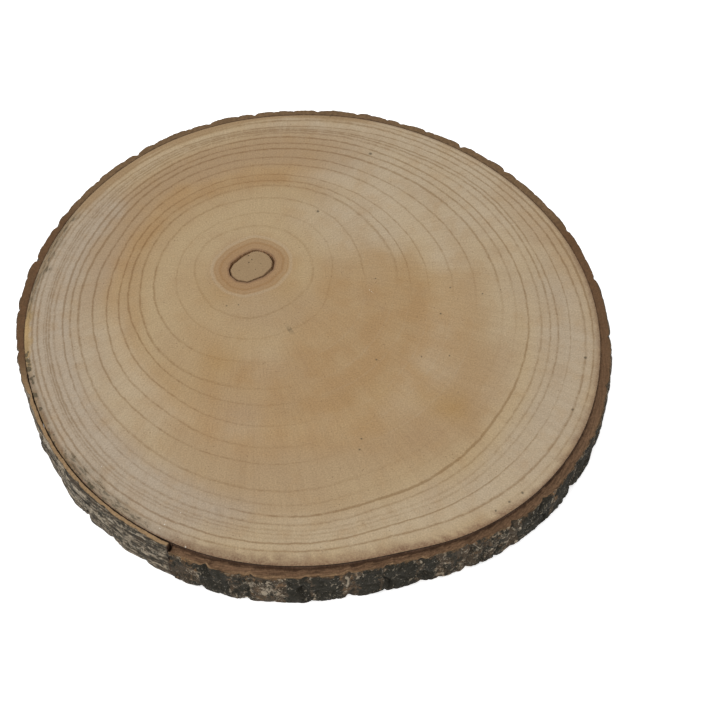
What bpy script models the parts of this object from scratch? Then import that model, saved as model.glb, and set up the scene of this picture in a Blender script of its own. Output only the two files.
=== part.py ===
"""Wood slice: one disc sawn across a trunk, with its bark and its pith.

Units are metres, +Z is up, and the slice lies on its sawn underside.  It has three bodies:
the wood with a hole for the pith, the bark as one ring that is split through and has sprung
loose beside the split, and the pith as a plug that has shrunk away from the wood.
Bearings are degrees in plan about the trunk's middle, counterclockwise from +X.
"""

import random
from math import atan2, cos, exp, pi, radians, sin

import bmesh
import bpy
from mathutils import Vector, noise

MM = 0.001

# The slice
THICKNESS = 30.0 * MM
FIT_GAP = 0.3 * MM
RIM_EASE = 0.5 * MM
RIM_COLUMNS = 200
# Radius of the wood under the bark, every 15 degrees from +X
RIM_RADII = [r * MM for r in (
    142.8, 140.1, 136.9, 134.5, 133.0, 132.7, 133.0, 134.7, 136.6, 137.5, 138.0, 138.2,
    138.0, 136.5, 135.8, 135.0, 134.2, 133.2, 132.4, 133.3, 139.3, 143.8, 145.6, 144.6)]

# The bark ring
# Thickness of the bark, every 15 degrees from +X
BARK_THICKNESS = [t * MM for t in (
    6.1, 6.0, 5.7, 5.6, 5.1, 5.0, 4.9, 5.1, 4.9, 5.2, 5.1, 5.9,
    5.4, 4.0, 4.0, 4.2, 5.1, 6.4, 5.6, 5.0, 5.4, 5.9, 6.4, 6.8)]
# How far the saw has torn the bark's top below the face, every 15 degrees from +X
BARK_TORN = [d * MM for d in (
    0.4, 0.1, 0.0, 0.0, 0.0, 0.0, 0.0, 0.0, 0.0, 0.0, 0.0, 0.0,
    0.0, 0.0, 0.0, 3.6, 3.6, 3.8, 4.2, 3.9, 3.4, 3.2, 2.4, 1.2)]
# The split, and the thin strip before it that has sprung loose
SPLIT = 240.5
SPLIT_WIDTH = 0.5
LOOSE_FROM = 186.0
LOOSE_GAP = 0.8 * MM
STRIP_THICKNESS = 2.5 * MM
STRIP_THINS = 8.0
# The strip's face is smoother than the rest and leans out towards its foot
STRIP_SMOOTHER = 0.55
STRIP_FLARE = 0.9 * MM

# The bark's top edge
# From the wood outwards: the share of the bark's thickness, and of its torn depth below the face
TOP_EDGE = ((0.0, 0.88), (0.3, 1.1), (0.66, 0.95))
OUTER_EDGE_TORN = 1.12
OUTER_EDGE_EASE = 0.5 * MM
TORN_UNEVEN = 0.3
# A plate's middle stands above its ends by this share of the torn depth
PLATE_RISE = 0.5
RISE_REACH = 5.0 * MM
# The outer slope that is left where a furrow cuts into the top
LEAST_SLOPE = 0.4 * MM
LEAST_TOP = 0.3 * MM

# The bark's furrows, which run along the trunk, and the plates between them
FURROWS = (
    248.0, 256.5, 267.0, 275.0, 282.5, 289.5, 297.5, 307.5, 315.0, 323.5, 331.5,
    341.5, 352.0, 365.7, 378.5, 385.5, 398.5, 410.2, 419.0, 425.2, 435.5, 444.7,
    459.2, 469.5, 487.5, 498.0, 512.0, 521.5, 534.0, 544.0, 555.0, 567.0, 577.5,
    585.0, 593.0)
FURROW_DEPTH = (1.6 * MM, 2.5 * MM)
FURROW_HALF_WIDTH = 1.7 * MM
FURROW_SHOULDER = 3.6 * MM
SHOULDER_SHARE = 0.35
FURROW_COLUMNS = (-1.5, -0.65, 0.0, 0.65, 1.5)
# Shallower cracks that break up the wider plates, as shares of the plate's width
WIDE_PLATE = 7.5
CRACK_SHARES = (0.36, 0.7)
CRACK_JITTER = 0.07
CRACK_DEPTH = (0.4 * MM, 0.9 * MM)
CRACK_HALF_WIDTH = 0.9 * MM
CRACK_COLUMNS = (-0.5, 0.0, 0.5)
PLATE_COLUMN_STEP = 2.0
# The uneven run of the furrows and the lumps on the plates, as smooth noise
FURROW_WANDER = 2.6
WANDER_AROUND = 9.0
WANDER_LENGTH = 13.0 * MM
FADE_MEAN = 0.8
FADE_LENGTH = 9.0 * MM
LUMP_LENGTH = 8.0 * MM
LUMP_HEIGHT = 0.75 * MM
LUMP_MEAN = 0.6
WANDER_LAYER, LUMP_LAYER, TORN_LAYER, FADE_LAYER = 3.0, 7.0, 21.0, 31.0
EDGE_CRUMBLE = 0.7 * MM
EDGE_CRUMBLE_REACH = 2.2 * MM
FACE_HEIGHTS = (0.93, 0.78, 0.6, 0.42, 0.25, 0.1, 0.02)
SEED = 11

# The pith
PITH_MIDDLE = Vector((-26.0 * MM, 32.3 * MM, 0.0))
# Radius of the pith, every 22.5 degrees from +X about its own middle
PITH_RADII = [r * MM for r in (
    11.0, 12.0, 12.0, 11.5, 10.8, 9.8, 9.7, 10.8, 11.5, 11.6, 10.9, 9.5, 8.2, 7.7, 8.4, 9.6)]
PITH_COLUMNS = 48
# How far the pith has shrunk from the hole's edge at the two faces, and where most
SHRINK = 0.55 * MM
SHRINK_MORE = 0.7 * MM
SHRINK_MORE_BEARING = 322.0
SHRINK_MORE_SPREAD = 24.0
SEAM_DEPTH = 7.0 * MM
HALF_SEAM = 0.6


def clear_scene():
    for thing in list(bpy.data.objects):
        bpy.data.objects.remove(thing, do_unlink=True)


def finish(name, colour, roughness):
    """A plain dull material in the piece's own colour."""
    material = bpy.data.materials.new(name)
    material.use_nodes = True
    shader = material.node_tree.nodes["Principled BSDF"]
    shader.inputs["Base Color"].default_value = (*colour, 1.0)
    shader.inputs["Roughness"].default_value = roughness
    shader.inputs["Metallic"].default_value = 0.0
    return material


def smooth_round(values, bearing):
    """Read evenly spaced values round a closed outline through a smooth curve."""
    count = len(values)
    place = (bearing % 360.0) * count / 360.0
    first = int(place)
    t = place - first
    a, b, c, d = (values[(first + k) % count] for k in (-1, 0, 1, 2))
    return b + 0.5 * t * (c - a + t * (2 * a - 5 * b + 4 * c - d + t * (3 * (b - c) + d - a)))


def smooth_step(low, high, value):
    t = min(1.0, max(0.0, (value - low) / (high - low)))
    return t * t * (3.0 - 2.0 * t)


def turn(radius, bearing, height, middle=Vector((0.0, 0.0, 0.0))):
    angle = radians(bearing)
    return middle + Vector((radius * cos(angle), radius * sin(angle), height))


def rim_radius(bearing):
    return smooth_round(RIM_RADII, bearing)


def pith_radius(bearing):
    return smooth_round(PITH_RADII, bearing)


def looseness(bearing):
    """0 where the bark sits tight, rising to 1 at the loose end beside the split."""
    plan = bearing % 360.0
    return smooth_step(LOOSE_FROM, SPLIT, plan) if plan < SPLIT else 0.0


def bark_gap(bearing):
    return FIT_GAP + (LOOSE_GAP - FIT_GAP) * looseness(bearing)


def thinness(bearing):
    """0 where the bark has its full thickness, 1 where it is a thin strip."""
    return min(1.0, STRIP_THINS * looseness(bearing))


def bark_thickness(bearing):
    full = smooth_round(BARK_THICKNESS, bearing)
    return full + (STRIP_THICKNESS - full) * thinness(bearing)


def torn_depth(bearing):
    """How far the bark's top lies below the face; the loose strip kept its sawn top."""
    if looseness(bearing) > 0.0:
        return 0.0
    return max(0.0, smooth_round(BARK_TORN, bearing))


def plan_furrows():
    """Every furrow and crack as its bearing, depth, half width and columns."""
    draw = random.Random(SEED)
    furrows = []
    for bearing in FURROWS:
        furrows.append((bearing, draw.uniform(*FURROW_DEPTH), FURROW_HALF_WIDTH, FURROW_COLUMNS))
    for here, after in zip(FURROWS, FURROWS[1:]):
        width = after - here
        for share in CRACK_SHARES if width > WIDE_PLATE else ():
            bearing = here + width * (share + draw.uniform(-CRACK_JITTER, CRACK_JITTER))
            furrows.append((bearing, draw.uniform(*CRACK_DEPTH), CRACK_HALF_WIDTH, CRACK_COLUMNS))
    return furrows


def wander(bearing, height):
    """How far a furrow strays sideways below the top face, in degrees."""
    around = bearing / WANDER_AROUND
    here = noise.noise(Vector((around, height / WANDER_LENGTH, WANDER_LAYER)))
    top = noise.noise(Vector((around, THICKNESS / WANDER_LENGTH, WANDER_LAYER)))
    return FURROW_WANDER * (here - top)


def bark_columns(furrows):
    """Bearings of the bark's sections: close together at the furrows, wider on the plates."""
    start = SPLIT + 0.5 * SPLIT_WIDTH
    end = SPLIT + 360.0 - 0.5 * SPLIT_WIDTH
    at_furrows = [bearing + step for bearing, _, _, steps in furrows for step in steps]
    at_furrows = sorted([start, end] + at_furrows)
    columns = []
    for here, after in zip(at_furrows, at_furrows[1:]):
        parts = max(1, round((after - here) / PLATE_COLUMN_STEP))
        columns += [here + (after - here) * k / parts for k in range(parts)]
    return columns + [end]


def relief(bearing, height, top, furrows):
    """How far the weathered face stands in from the bark's full thickness."""
    radius = rim_radius(bearing)
    furrow = 0.0
    for place, depth, half_width, _ in furrows:
        span = abs(bearing - place) * radius * pi / 180.0
        notch = max(0.0, 1.0 - span / half_width)
        shoulder = exp(-(span / FURROW_SHOULDER) ** 2)
        fade = FADE_MEAN + noise.noise(Vector((place, height / FADE_LENGTH, FADE_LAYER)))
        cut = fade * depth * ((1.0 - SHOULDER_SHARE) * notch + SHOULDER_SHARE * shoulder)
        furrow = max(furrow, cut)
    around = radians(bearing) * radius
    lump = noise.noise(Vector((around / LUMP_LENGTH, height / LUMP_LENGTH, LUMP_LAYER)))
    edge = min(height, top - height)
    crumble = EDGE_CRUMBLE * exp(-(edge / EDGE_CRUMBLE_REACH) ** 2)
    set_back = furrow + LUMP_HEIGHT * (LUMP_MEAN - lump) + crumble
    flare = STRIP_FLARE * (1.0 - height / THICKNESS)
    strip = thinness(bearing)
    return set_back * (1.0 - STRIP_SMOOTHER * strip) - flare * strip


def plate_rise(bearing):
    """0 at a furrow, rising to 1 in the middle of a plate."""
    away = min(abs(bearing - place) for place in FURROWS)
    return smooth_step(0.0, RISE_REACH, radians(away) * rim_radius(bearing))


def bark_section(bearing, furrows, straight):
    """One closed outline of the bark, from its foot inside, over its top and down its face."""
    inner = rim_radius(bearing) + bark_gap(bearing)
    thick = bark_thickness(bearing)
    rough = noise.noise(Vector((radians(bearing) * inner / LUMP_LENGTH, 0.0, TORN_LAYER)))
    torn = torn_depth(bearing) * (1.0 + TORN_UNEVEN * rough)
    edge_torn = OUTER_EDGE_TORN - PLATE_RISE * plate_rise(bearing)
    edge = THICKNESS - edge_torn * torn - OUTER_EDGE_EASE
    reach = thick - relief(bearing, edge, edge, furrows) - LEAST_SLOPE
    width = max(LEAST_TOP, min(reach, TOP_EDGE[-1][0] * thick))
    points = [turn(inner, bearing, 0.0)]
    for out, down in TOP_EDGE:
        place = out / TOP_EDGE[-1][0] * width
        points.append(turn(inner + place, bearing, THICKNESS - down * torn))
    for height in [edge] + [share * edge for share in FACE_HEIGHTS] + [0.0]:
        set_back = relief(bearing, height, edge, furrows)
        shift = 0.0 if straight else wander(bearing, height)
        radius = inner + thick - set_back
        points.append(turn(radius, bearing + shift, height))
    return points


def new_object(name, bm, material):
    """Turn a finished bmesh into a named object with smooth shading and crisp cut edges."""
    bmesh.ops.recalc_face_normals(bm, faces=bm.faces)
    mesh = bpy.data.meshes.new(name)
    bm.to_mesh(mesh)
    bm.free()
    mesh.materials.append(material)
    mesh.shade_smooth()
    mesh.set_sharp_from_angle(angle=radians(40.0))
    thing = bpy.data.objects.new(name, mesh)
    bpy.context.scene.collection.objects.link(thing)
    return thing


def skin(bm, rings, closed):
    """Join rings of vertices, each to the next, with quads."""
    for lower, upper in zip(rings, rings[1:]):
        count = len(lower)
        for k in range(count if closed else count - 1):
            after = (k + 1) % count
            bm.faces.new((lower[k], lower[after], upper[after], upper[k]))


def in_order(ring, middle):
    """The ring's vertices by their bearing about the middle, the first again at the end."""
    marked = []
    for vertex in ring:
        bearing = atan2(vertex.co.y - middle.y, vertex.co.x - middle.x)
        marked.append((bearing, vertex))
    marked.sort(key=lambda mark: mark[0])
    return marked + [(marked[0][0] + 2.0 * pi, marked[0][1])]


def stitch(bm, outer, inner, middle):
    """Fill a flat face between two rings, stepping on whichever ring is behind."""
    outer = in_order(outer, middle)
    inner = in_order(inner, middle)
    o = 0
    i = 0
    while o + 1 < len(outer) or i + 1 < len(inner):
        inner_done = i + 1 == len(inner)
        outer_left = o + 1 < len(outer)
        if inner_done or (outer_left and outer[o + 1][0] <= inner[i + 1][0]):
            bm.faces.new((outer[o][1], outer[o + 1][1], inner[i][1]))
            o += 1
        else:
            bm.faces.new((outer[o][1], inner[i + 1][1], inner[i][1]))
            i += 1


def make_wood():
    """The sawn disc: flat faces, a slightly eased rim and the pith's hole through it."""
    bm = bmesh.new()
    bearings = [360.0 * k / RIM_COLUMNS for k in range(RIM_COLUMNS)]
    rim = []
    for inset, height in (
            (RIM_EASE, 0.0),
            (0.0, RIM_EASE),
            (0.0, THICKNESS - RIM_EASE),
            (RIM_EASE, THICKNESS)):
        rim.append([bm.verts.new(turn(rim_radius(b) - inset, b, height)) for b in bearings])
    skin(bm, rim, True)
    steps = [360.0 * k / PITH_COLUMNS for k in range(PITH_COLUMNS)]
    hole = []
    for height in (0.0, THICKNESS):
        hole.append([bm.verts.new(turn(pith_radius(b), b, height, PITH_MIDDLE)) for b in steps])
    skin(bm, hole, True)
    stitch(bm, rim[0], hole[0], PITH_MIDDLE)
    stitch(bm, rim[-1], hole[-1], PITH_MIDDLE)
    return new_object("wood", bm, finish("sawn wood", (0.55, 0.42, 0.28), 0.7))


def make_pith():
    """The plug: shrunk from its hole at both faces and held in the middle of the thickness."""
    bm = bmesh.new()
    steps = [360.0 * k / PITH_COLUMNS for k in range(PITH_COLUMNS)]
    rings = []
    for height, share in (
            (0.0, 1.0),
            (0.5 * SEAM_DEPTH, HALF_SEAM),
            (SEAM_DEPTH, 0.0),
            (THICKNESS - SEAM_DEPTH, 0.0),
            (THICKNESS - 0.5 * SEAM_DEPTH, HALF_SEAM),
            (THICKNESS, 1.0)):
        ring = []
        for b in steps:
            away = (b - SHRINK_MORE_BEARING) / SHRINK_MORE_SPREAD
            shrink = SHRINK + SHRINK_MORE * exp(-away * away)
            radius = pith_radius(b) - FIT_GAP - share * shrink
            ring.append(bm.verts.new(turn(radius, b, height, PITH_MIDDLE)))
        rings.append(ring)
    skin(bm, rings, True)
    bm.faces.new(reversed(rings[0]))
    bm.faces.new(rings[-1])
    return new_object("pith", bm, finish("pith", (0.50, 0.38, 0.26), 0.85))


def make_bark():
    """The ring of bark, laid section by section from one side of its split to the other."""
    bm = bmesh.new()
    furrows = plan_furrows()
    columns = bark_columns(furrows)
    sections = []
    for bearing in columns:
        at_split = bearing in (columns[0], columns[-1])
        points = bark_section(bearing, furrows, at_split)
        sections.append([bm.verts.new(point) for point in points])
    skin(bm, sections, True)
    bm.faces.new(sections[0])
    bm.faces.new(reversed(sections[-1]))
    return new_object("bark", bm, finish("bark", (0.10, 0.085, 0.07), 0.95))


def centre_on_origin(things):
    """Put the middle of the slice's outline over the origin."""
    corners = [v.co for thing in things for v in thing.data.vertices]
    for axis in (0, 1):
        low = min(c[axis] for c in corners)
        high = max(c[axis] for c in corners)
        for thing in things:
            thing.location[axis] -= 0.5 * (low + high)


def main():
    clear_scene()
    centre_on_origin([make_wood(), make_bark(), make_pith()])


main()
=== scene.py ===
"""Wood slice: the finished looks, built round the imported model.

The slice has three pieces, each finer than the solid that it stands for: the sawn wood with its
growth rings, the furrowed bark with its torn top edge and its loose strip, and the pith.
Lengths in the code are metres unless a name ends in _mm.  Bearings are degrees in plan,
counterclockwise from +X, about the trunk's middle or, for the rings, about the pith.
"""

import random
from math import atan2, cos, degrees, exp, hypot, pi, radians, sin

import bpy
import numpy as np
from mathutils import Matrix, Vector, noise


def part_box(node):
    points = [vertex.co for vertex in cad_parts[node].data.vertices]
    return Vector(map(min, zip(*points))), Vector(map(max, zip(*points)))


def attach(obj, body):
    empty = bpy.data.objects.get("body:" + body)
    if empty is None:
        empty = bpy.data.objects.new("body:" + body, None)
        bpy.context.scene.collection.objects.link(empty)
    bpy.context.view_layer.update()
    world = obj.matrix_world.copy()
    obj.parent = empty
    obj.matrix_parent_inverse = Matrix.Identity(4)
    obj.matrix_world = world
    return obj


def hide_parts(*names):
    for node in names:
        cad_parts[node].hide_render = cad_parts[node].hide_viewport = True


bl_info = {
    "name": "Wood Slice",
    "version": (1, 0, 0),
    "blender": (4, 5, 0),
    "location": "3D View > Sidebar > Slice",
    "description": "Builds a sawn wood slice with growth rings, furrowed bark and pith",
    "category": "Add Mesh",
}

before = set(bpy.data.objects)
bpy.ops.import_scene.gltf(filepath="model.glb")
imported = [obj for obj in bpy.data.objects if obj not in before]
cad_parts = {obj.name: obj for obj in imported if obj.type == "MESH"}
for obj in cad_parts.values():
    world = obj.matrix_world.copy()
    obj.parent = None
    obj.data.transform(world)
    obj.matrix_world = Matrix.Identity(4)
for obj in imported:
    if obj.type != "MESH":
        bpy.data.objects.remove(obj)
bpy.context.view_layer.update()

MM = 0.001
BODY = "root"
BAKE_MAP = "OFBake"

# The slice, as in the model's source
THICKNESS = 30.0 * MM
FIT_GAP = 0.3 * MM
CAD_RIM_COLUMNS = 200
# Radius of the wood under the bark, every 15 degrees
RIM_RADII = [r * MM for r in (
    142.8, 140.1, 136.9, 134.5, 133.0, 132.7, 133.0, 134.7, 136.6, 137.5, 138.0, 138.2,
    138.0, 136.5, 135.8, 135.0, 134.2, 133.2, 132.4, 133.3, 139.3, 143.8, 145.6, 144.6)]
# Thickness of the bark, every 15 degrees
BARK_THICKNESS = [t * MM for t in (
    6.1, 6.0, 5.7, 5.6, 5.1, 5.0, 4.9, 5.1, 4.9, 5.2, 5.1, 5.9,
    5.4, 4.0, 4.0, 4.2, 5.1, 6.4, 5.6, 5.0, 5.4, 5.9, 6.4, 6.8)]
# How far the saw has torn the bark's top below the face, every 15 degrees
BARK_TORN = [d * MM for d in (
    0.4, 0.1, 0.0, 0.0, 0.0, 0.0, 0.0, 0.0, 0.0, 0.0, 0.0, 0.0,
    0.0, 0.0, 0.0, 3.6, 3.6, 3.8, 4.2, 3.9, 3.4, 3.2, 2.4, 1.2)]
SPLIT = 240.5
SPLIT_WIDTH = 0.5
LOOSE_FROM = 186.0
LOOSE_GAP = 0.8 * MM
CRACK_WIDTH = 0.45 * MM
STRIP_THICKNESS = 2.5 * MM
STRIP_THINS = 8.0
# The strip's face is smoother than the rest and leans out towards its foot
STRIP_SMOOTHER = 0.55
STRIP_FLARE = 0.9 * MM
TOP_EDGE = ((0.0, 0.88), (0.3, 1.1), (0.66, 0.95))
OUTER_EDGE_TORN = 1.12
OUTER_EDGE_EASE = 0.5 * MM
TORN_UNEVEN = 0.3
PLATE_RISE = 0.5
RISE_REACH = 5.0 * MM
LEAST_SLOPE = 0.4 * MM
LEAST_TOP = 0.3 * MM
FURROWS = (
    248.0, 256.5, 267.0, 275.0, 282.5, 289.5, 297.5, 307.5, 315.0, 323.5, 331.5,
    341.5, 352.0, 365.7, 378.5, 385.5, 398.5, 410.2, 419.0, 425.2, 435.5, 444.7,
    459.2, 469.5, 487.5, 498.0, 512.0, 521.5, 534.0, 544.0, 555.0, 567.0, 577.5,
    585.0, 593.0)
FURROW_DEPTH = (1.6 * MM, 2.5 * MM)
FURROW_HALF_WIDTH = 1.7 * MM
FURROW_SHOULDER = 3.6 * MM
SHOULDER_SHARE = 0.35
FURROW_REACH = 12.0 * MM
WIDE_PLATE = 7.5
CRACK_SHARES = (0.36, 0.7)
CRACK_JITTER = 0.07
CRACK_DEPTH = (0.4 * MM, 0.9 * MM)
CRACK_HALF_WIDTH = 0.9 * MM
FURROW_WANDER = 2.6
WANDER_AROUND = 9.0
WANDER_LENGTH = 13.0 * MM
FADE_MEAN = 0.8
FADE_LENGTH = 9.0 * MM
LUMP_LENGTH = 8.0 * MM
LUMP_HEIGHT = 0.75 * MM
LUMP_MEAN = 0.6
WANDER_LAYER, LUMP_LAYER, TORN_LAYER, FADE_LAYER = 3.0, 7.0, 21.0, 31.0
EDGE_CRUMBLE = 0.7 * MM
EDGE_CRUMBLE_REACH = 2.2 * MM
FURROW_SEED = 11
PITH_MIDDLE = Vector((-26.0 * MM, 32.3 * MM, 0.0))
# Corners of the hole and of the shrunken pith in the two faces: bearing, and radius in mm
HOLE_CORNERS = (
    (16.0, 12.2), (34.0, 12.5), (54.0, 11.9), (74.0, 11.5), (88.0, 11.1), (124.0, 9.7),
    (160.0, 11.1), (181.0, 11.7), (200.0, 11.8), (226.0, 11.0), (256.0, 9.4), (315.0, 8.4),
    (350.0, 10.8))
PLUG_CORNERS = (
    (18.0, 10.9), (39.0, 11.3), (57.0, 11.1), (71.0, 10.9), (84.0, 10.3), (118.0, 8.5),
    (163.0, 9.6), (183.0, 10.9), (204.0, 10.9), (224.0, 10.2), (255.0, 8.7), (318.0, 7.6),
    (358.0, 9.8))
CORNER_EASE = 2.5
SEAM_DEPTH = 7.0 * MM
# How open the seam still is at depths below the face: crumbs fill its lower part
SEAM_OPEN = ((0.6 * MM, 0.95), (1.6 * MM, 0.5), (2.4 * MM, 0.25), (SEAM_DEPTH, 0.0))

# Growth rings, from the pith outwards: which table below says how each line fades round the
# slice, how dark the line is, and its place every 20 degrees about the pith, in thousandths of
# the way from the pith's middle to the rim
RINGS = (
    ("even", 0.38, (188, 209, 231, 248, 263, 269, 280, 291, 284,
                   265, 242, 228, 211, 196, 181, 164, 161, 176)),
    ("even", 0.35, (250, 283, 313, 333, 344, 348, 351, 356, 357,
                   347, 334, 318, 296, 272, 256, 238, 233, 228)),
    ("heart", 0.6, (340, 370, 404, 431, 442, 449, 456, 462, 457,
                     446, 434, 415, 387, 357, 342, 342, 334, 334)),
    ("heart", 0.7, (443, 461, 490, 511, 524, 527, 526, 530, 522,
                    507, 499, 495, 473, 447, 436, 421, 405, 415)),
    ("heart", 0.8, (475, 492, 519, 541, 556, 563, 563, 568, 565,
                    555, 549, 530, 514, 500, 490, 470, 455, 460)),
    ("heart", 0.85, (529, 543, 560, 579, 596, 604, 604, 605, 605,
                     592, 594, 588, 569, 569, 560, 542, 517, 515)),
    ("heart", 0.8, (600, 610, 633, 650, 663, 670, 664, 658, 650,
                    644, 646, 649, 630, 635, 632, 600, 575, 583)),
    ("heart", 0.95, (667, 673, 682, 698, 712, 720, 720, 715, 697,
                     707, 707, 708, 692, 688, 684, 652, 638, 648)),
    ("sap", 1.3, (735, 741, 745, 757, 770, 774, 774, 769, 754,
                  767, 770, 774, 768, 770, 773, 738, 716, 727)),
    ("sap", 1.0, (773, 777, 781, 794, 806, 809, 807, 805, 796,
                  804, 804, 810, 810, 811, 816, 778, 747, 763)),
    ("main", 1.5, (803, 807, 815, 833, 850, 850, 843, 839, 832,
                   835, 836, 840, 838, 842, 852, 822, 793, 799)),
    ("even", 0.6, (840, 848, 850, 867, 879, 881, 874, 872, 867,
                    872, 876, 876, 878, 872, 878, 846, 824, 836)),
    ("late", 0.75, (864, 876, 870, 882, 893, 896, 892, 889, 885,
                    893, 897, 900, 898, 892, 896, 872, 850, 861)),
    ("late", 0.8, (881, 893, 886, 893, 904, 907, 906, 904, 899,
                   904, 907, 910, 910, 903, 908, 886, 869, 883)),
    ("left", 0.6, (900, 907, 903, 904, 911, 913, 913, 911, 909,
                   913, 916, 918, 919, 915, 918, 897, 886, 898)),
    ("last", 1.1, (918, 924, 921, 916, 919, 921, 923, 930, 938,
                   945, 944, 943, 943, 936, 932, 909, 903, 916)),
    ("edge", 1.25, (952, 951, 952, 961, 964, 964, 963, 962, 963,
                    968, 967, 966, 968, 961, 957, 947, 952, 960)),
    ("right", 1.3, (979, 978, 976, 981, 984, 984, 983, 983, 984,
                    987, 986, 986, 986, 982, 980, 975, 977, 982)),
)
# How strong a line is every 20 degrees about the pith; below 0 it is paler than the wood
RING_FADES = {
    "even": (1.0,) * 18,
    "heart": (0.75, 0.95, 0.8, 0.85, 0.65, 0.7, 0.85, 0.95, 1.15,
              1.3, 1.3, 1.15, 0.85, 0.5, 0.25, -0.2, -0.3, -0.1),
    "sap": (0.64, 1.0, 1.0, 0.8, 0.75, 0.75, 1.0, 1.05, 1.18,
            1.1, 0.8, 0.55, 0.45, 0.35, 0.3, 0.12, 0.1, 0.15),
    "main": (0.93, 1.12, 1.0, 0.88, 0.8, 0.76, 1.1, 1.08, 1.3,
             1.4, 0.9, 0.57, 0.4, 0.36, 0.78, 1.4, 1.1, 0.75),
    "late": (1.3, 1.4, 1.45, 1.5, 1.5, 1.4, 1.25, 1.2, 1.05,
             1.1, 1.4, 1.4, 0.85, 0.7, 0.52, 0.52, 0.65, 0.9),
    "last": (1.0, 1.2, 1.0, 1.1, 1.6, 1.8, 1.4, 1.1, 0.7,
             0.7, 1.0, 1.15, 1.3, 1.4, 1.9, 1.7, 0.6, 0.55),
    "edge": (0.8, 1.1, 0.93, 0.8, 0.7, 0.65, 0.95, 0.93, 1.1,
             1.2, 1.25, 1.2, 0.75, 0.6, 0.8, 1.0, 0.85, 0.6),
    "left": (0.0, 0.0, 0.0, 0.0, 0.2, 0.4, 0.6, 0.8, 1.0,
             1.0, 1.0, 1.0, 0.9, 0.5, 0.2, 0.0, 0.0, 0.0),
    "right": (1.5, 1.5, 0.8, 0.4, 0.3, 0.4, 0.6, 0.8, 0.8,
              0.8, 0.6, 0.4, 0.3, 0.1, 0.0, 0.1, 0.4, 0.8),
}
WIGGLE = 0.25 * MM
WIGGLE_LENGTH = 9.0 * MM
BAND_SEED = 5
FACE_COLUMNS = 480
RIM_STEPS = 3600
ROW_SPACING = 3.2 * MM
FACE_EASE = 0.2 * MM
SIDE_HEIGHTS = (0.08, 0.2, 0.35, 0.5, 0.65, 0.8, 0.9, 0.96)
HOLE_HEIGHTS = (0.95, 0.88, 0.77, 0.5, 0.23, 0.12, 0.05)
# Soft zones of colour on the face: bearings from and to, shares from and to, strength
ZONES = {
    "warm": (
        (61.0, 180.0, 0.53, 0.69, 1.0), (50.0, 72.0, 0.52, 0.66, 0.6),
        (176.0, 209.0, 0.49, 0.63, 0.5), (253.0, 354.0, 0.33, 0.53, 0.9),
        (246.0, 354.0, 0.47, 0.69, 0.7), (336.0, 374.0, 0.21, 0.49, 0.6),
        (225.0, 264.0, 0.30, 0.68, 0.4), (299.0, 331.0, 0.65, 0.77, 0.75),
        (289.0, 354.0, 0.19, 0.37, 0.7), (170.0, 330.0, 0.2, 0.36, 0.3),
        (80.0, 180.0, 0.44, 0.56, 0.3), (170.0, 330.0, 0.52, 0.64, 0.35)),
    "pale": (
        (5.0, 55.0, 0.39, 1.03, 1.0), (11.0, 49.0, 0.27, 0.45, 0.5),
        (201.0, 245.0, 0.57, 1.03, 0.6), (-9.0, 21.0, 0.57, 0.89, 0.5),
        (176.0, 214.0, 0.71, 1.03, 0.7), (271.0, 352.0, 0.84, 0.99, 0.75),
        (51.0, 189.0, 0.87, 0.96, 0.6), (309.0, 335.0, 0.53, 0.64, 0.5),
        (10.0, 80.0, 0.85, 0.98, 0.9), (316.0, 372.0, 0.72, 0.8, 0.4),
        (185.0, 245.0, 0.86, 0.98, 0.55)),
    "pink": (
        (66.0, 174.0, 0.67, 0.85, 1.0), (49.0, 84.0, 0.65, 0.85, 0.75),
        (159.0, 191.0, 0.63, 0.77, 1.0), (132.0, 178.0, 0.77, 0.88, 0.5),
        (247.0, 285.0, 0.65, 0.87, 0.6), (269.0, 345.0, 0.65, 0.77, 0.4),
        (57.0, 101.0, 0.82, 0.92, 0.4), (110.0, 330.0, -0.1, 0.21, 0.65),
        (352.0, 376.0, 0.9, 1.0, 0.8)),
    "grey": (
        (150.0, 262.0, 0.79, 1.05, 1.0), (5.0, 70.0, 0.84, 1.0, 0.1),
        (162.0, 225.0, 0.66, 0.8, 0.4), (312.0, 350.0, 0.84, 1.0, 0.5)),
    "orange": (),
}
# Soft round patches on the face: place in plan and radius in mm, strength
PATCHES = {
    "warm": (
        (32.0, -46.0, 10.0, 0.9), (66.0, -57.0, 9.0, 1.0), (63.0, 20.0, 12.0, 0.5),
        (67.0, -18.0, 12.0, 0.45), (-44.0, -23.0, 9.0, 0.45), (-50.0, 92.0, 12.0, 0.4),
        (-95.0, 68.0, 14.0, 0.35)),
    "pale": (
        (28.0, 55.0, 14.0, 0.9), (38.0, 85.0, 14.0, 0.5), (68.0, 55.0, 13.0, 0.6),
        (50.0, 112.0, 16.0, 0.85), (120.0, -20.0, 16.0, 0.75), (100.0, 70.0, 14.0, 0.5),
        (138.0, 5.0, 12.0, 0.4), (115.0, -50.0, 14.0, 0.5), (-20.0, -27.0, 9.0, 0.4)),
    "pink": (
        (-110.0, 42.0, 14.0, 0.5), (-90.0, 76.0, 12.0, 0.5), (12.0, 82.0, 9.0, 0.4),
        (-42.0, -98.0, 10.0, 0.4), (55.0, -94.0, 10.0, 0.35)),
    "grey": (
        (25.0, 100.0, 14.0, 0.4), (115.0, 10.0, 14.0, 0.4), (-33.0, -55.0, 12.0, 0.35)),
    "orange": (
        (66.0, -57.0, 10.0, 0.55), (32.0, -46.0, 10.0, 0.4), (-44.0, -23.0, 9.0, 0.35),
        (-41.0, 18.0, 10.0, 0.4), (-9.0, 19.0, 9.0, 0.35), (-7.0, 34.0, 8.0, 0.3),
        (60.0, 22.0, 12.0, 0.15)),
}
# Half the width over which a zone fades at its borders
ZONE_EDGE = 15.0
ZONE_EDGE_SHARE = 0.045
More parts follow.
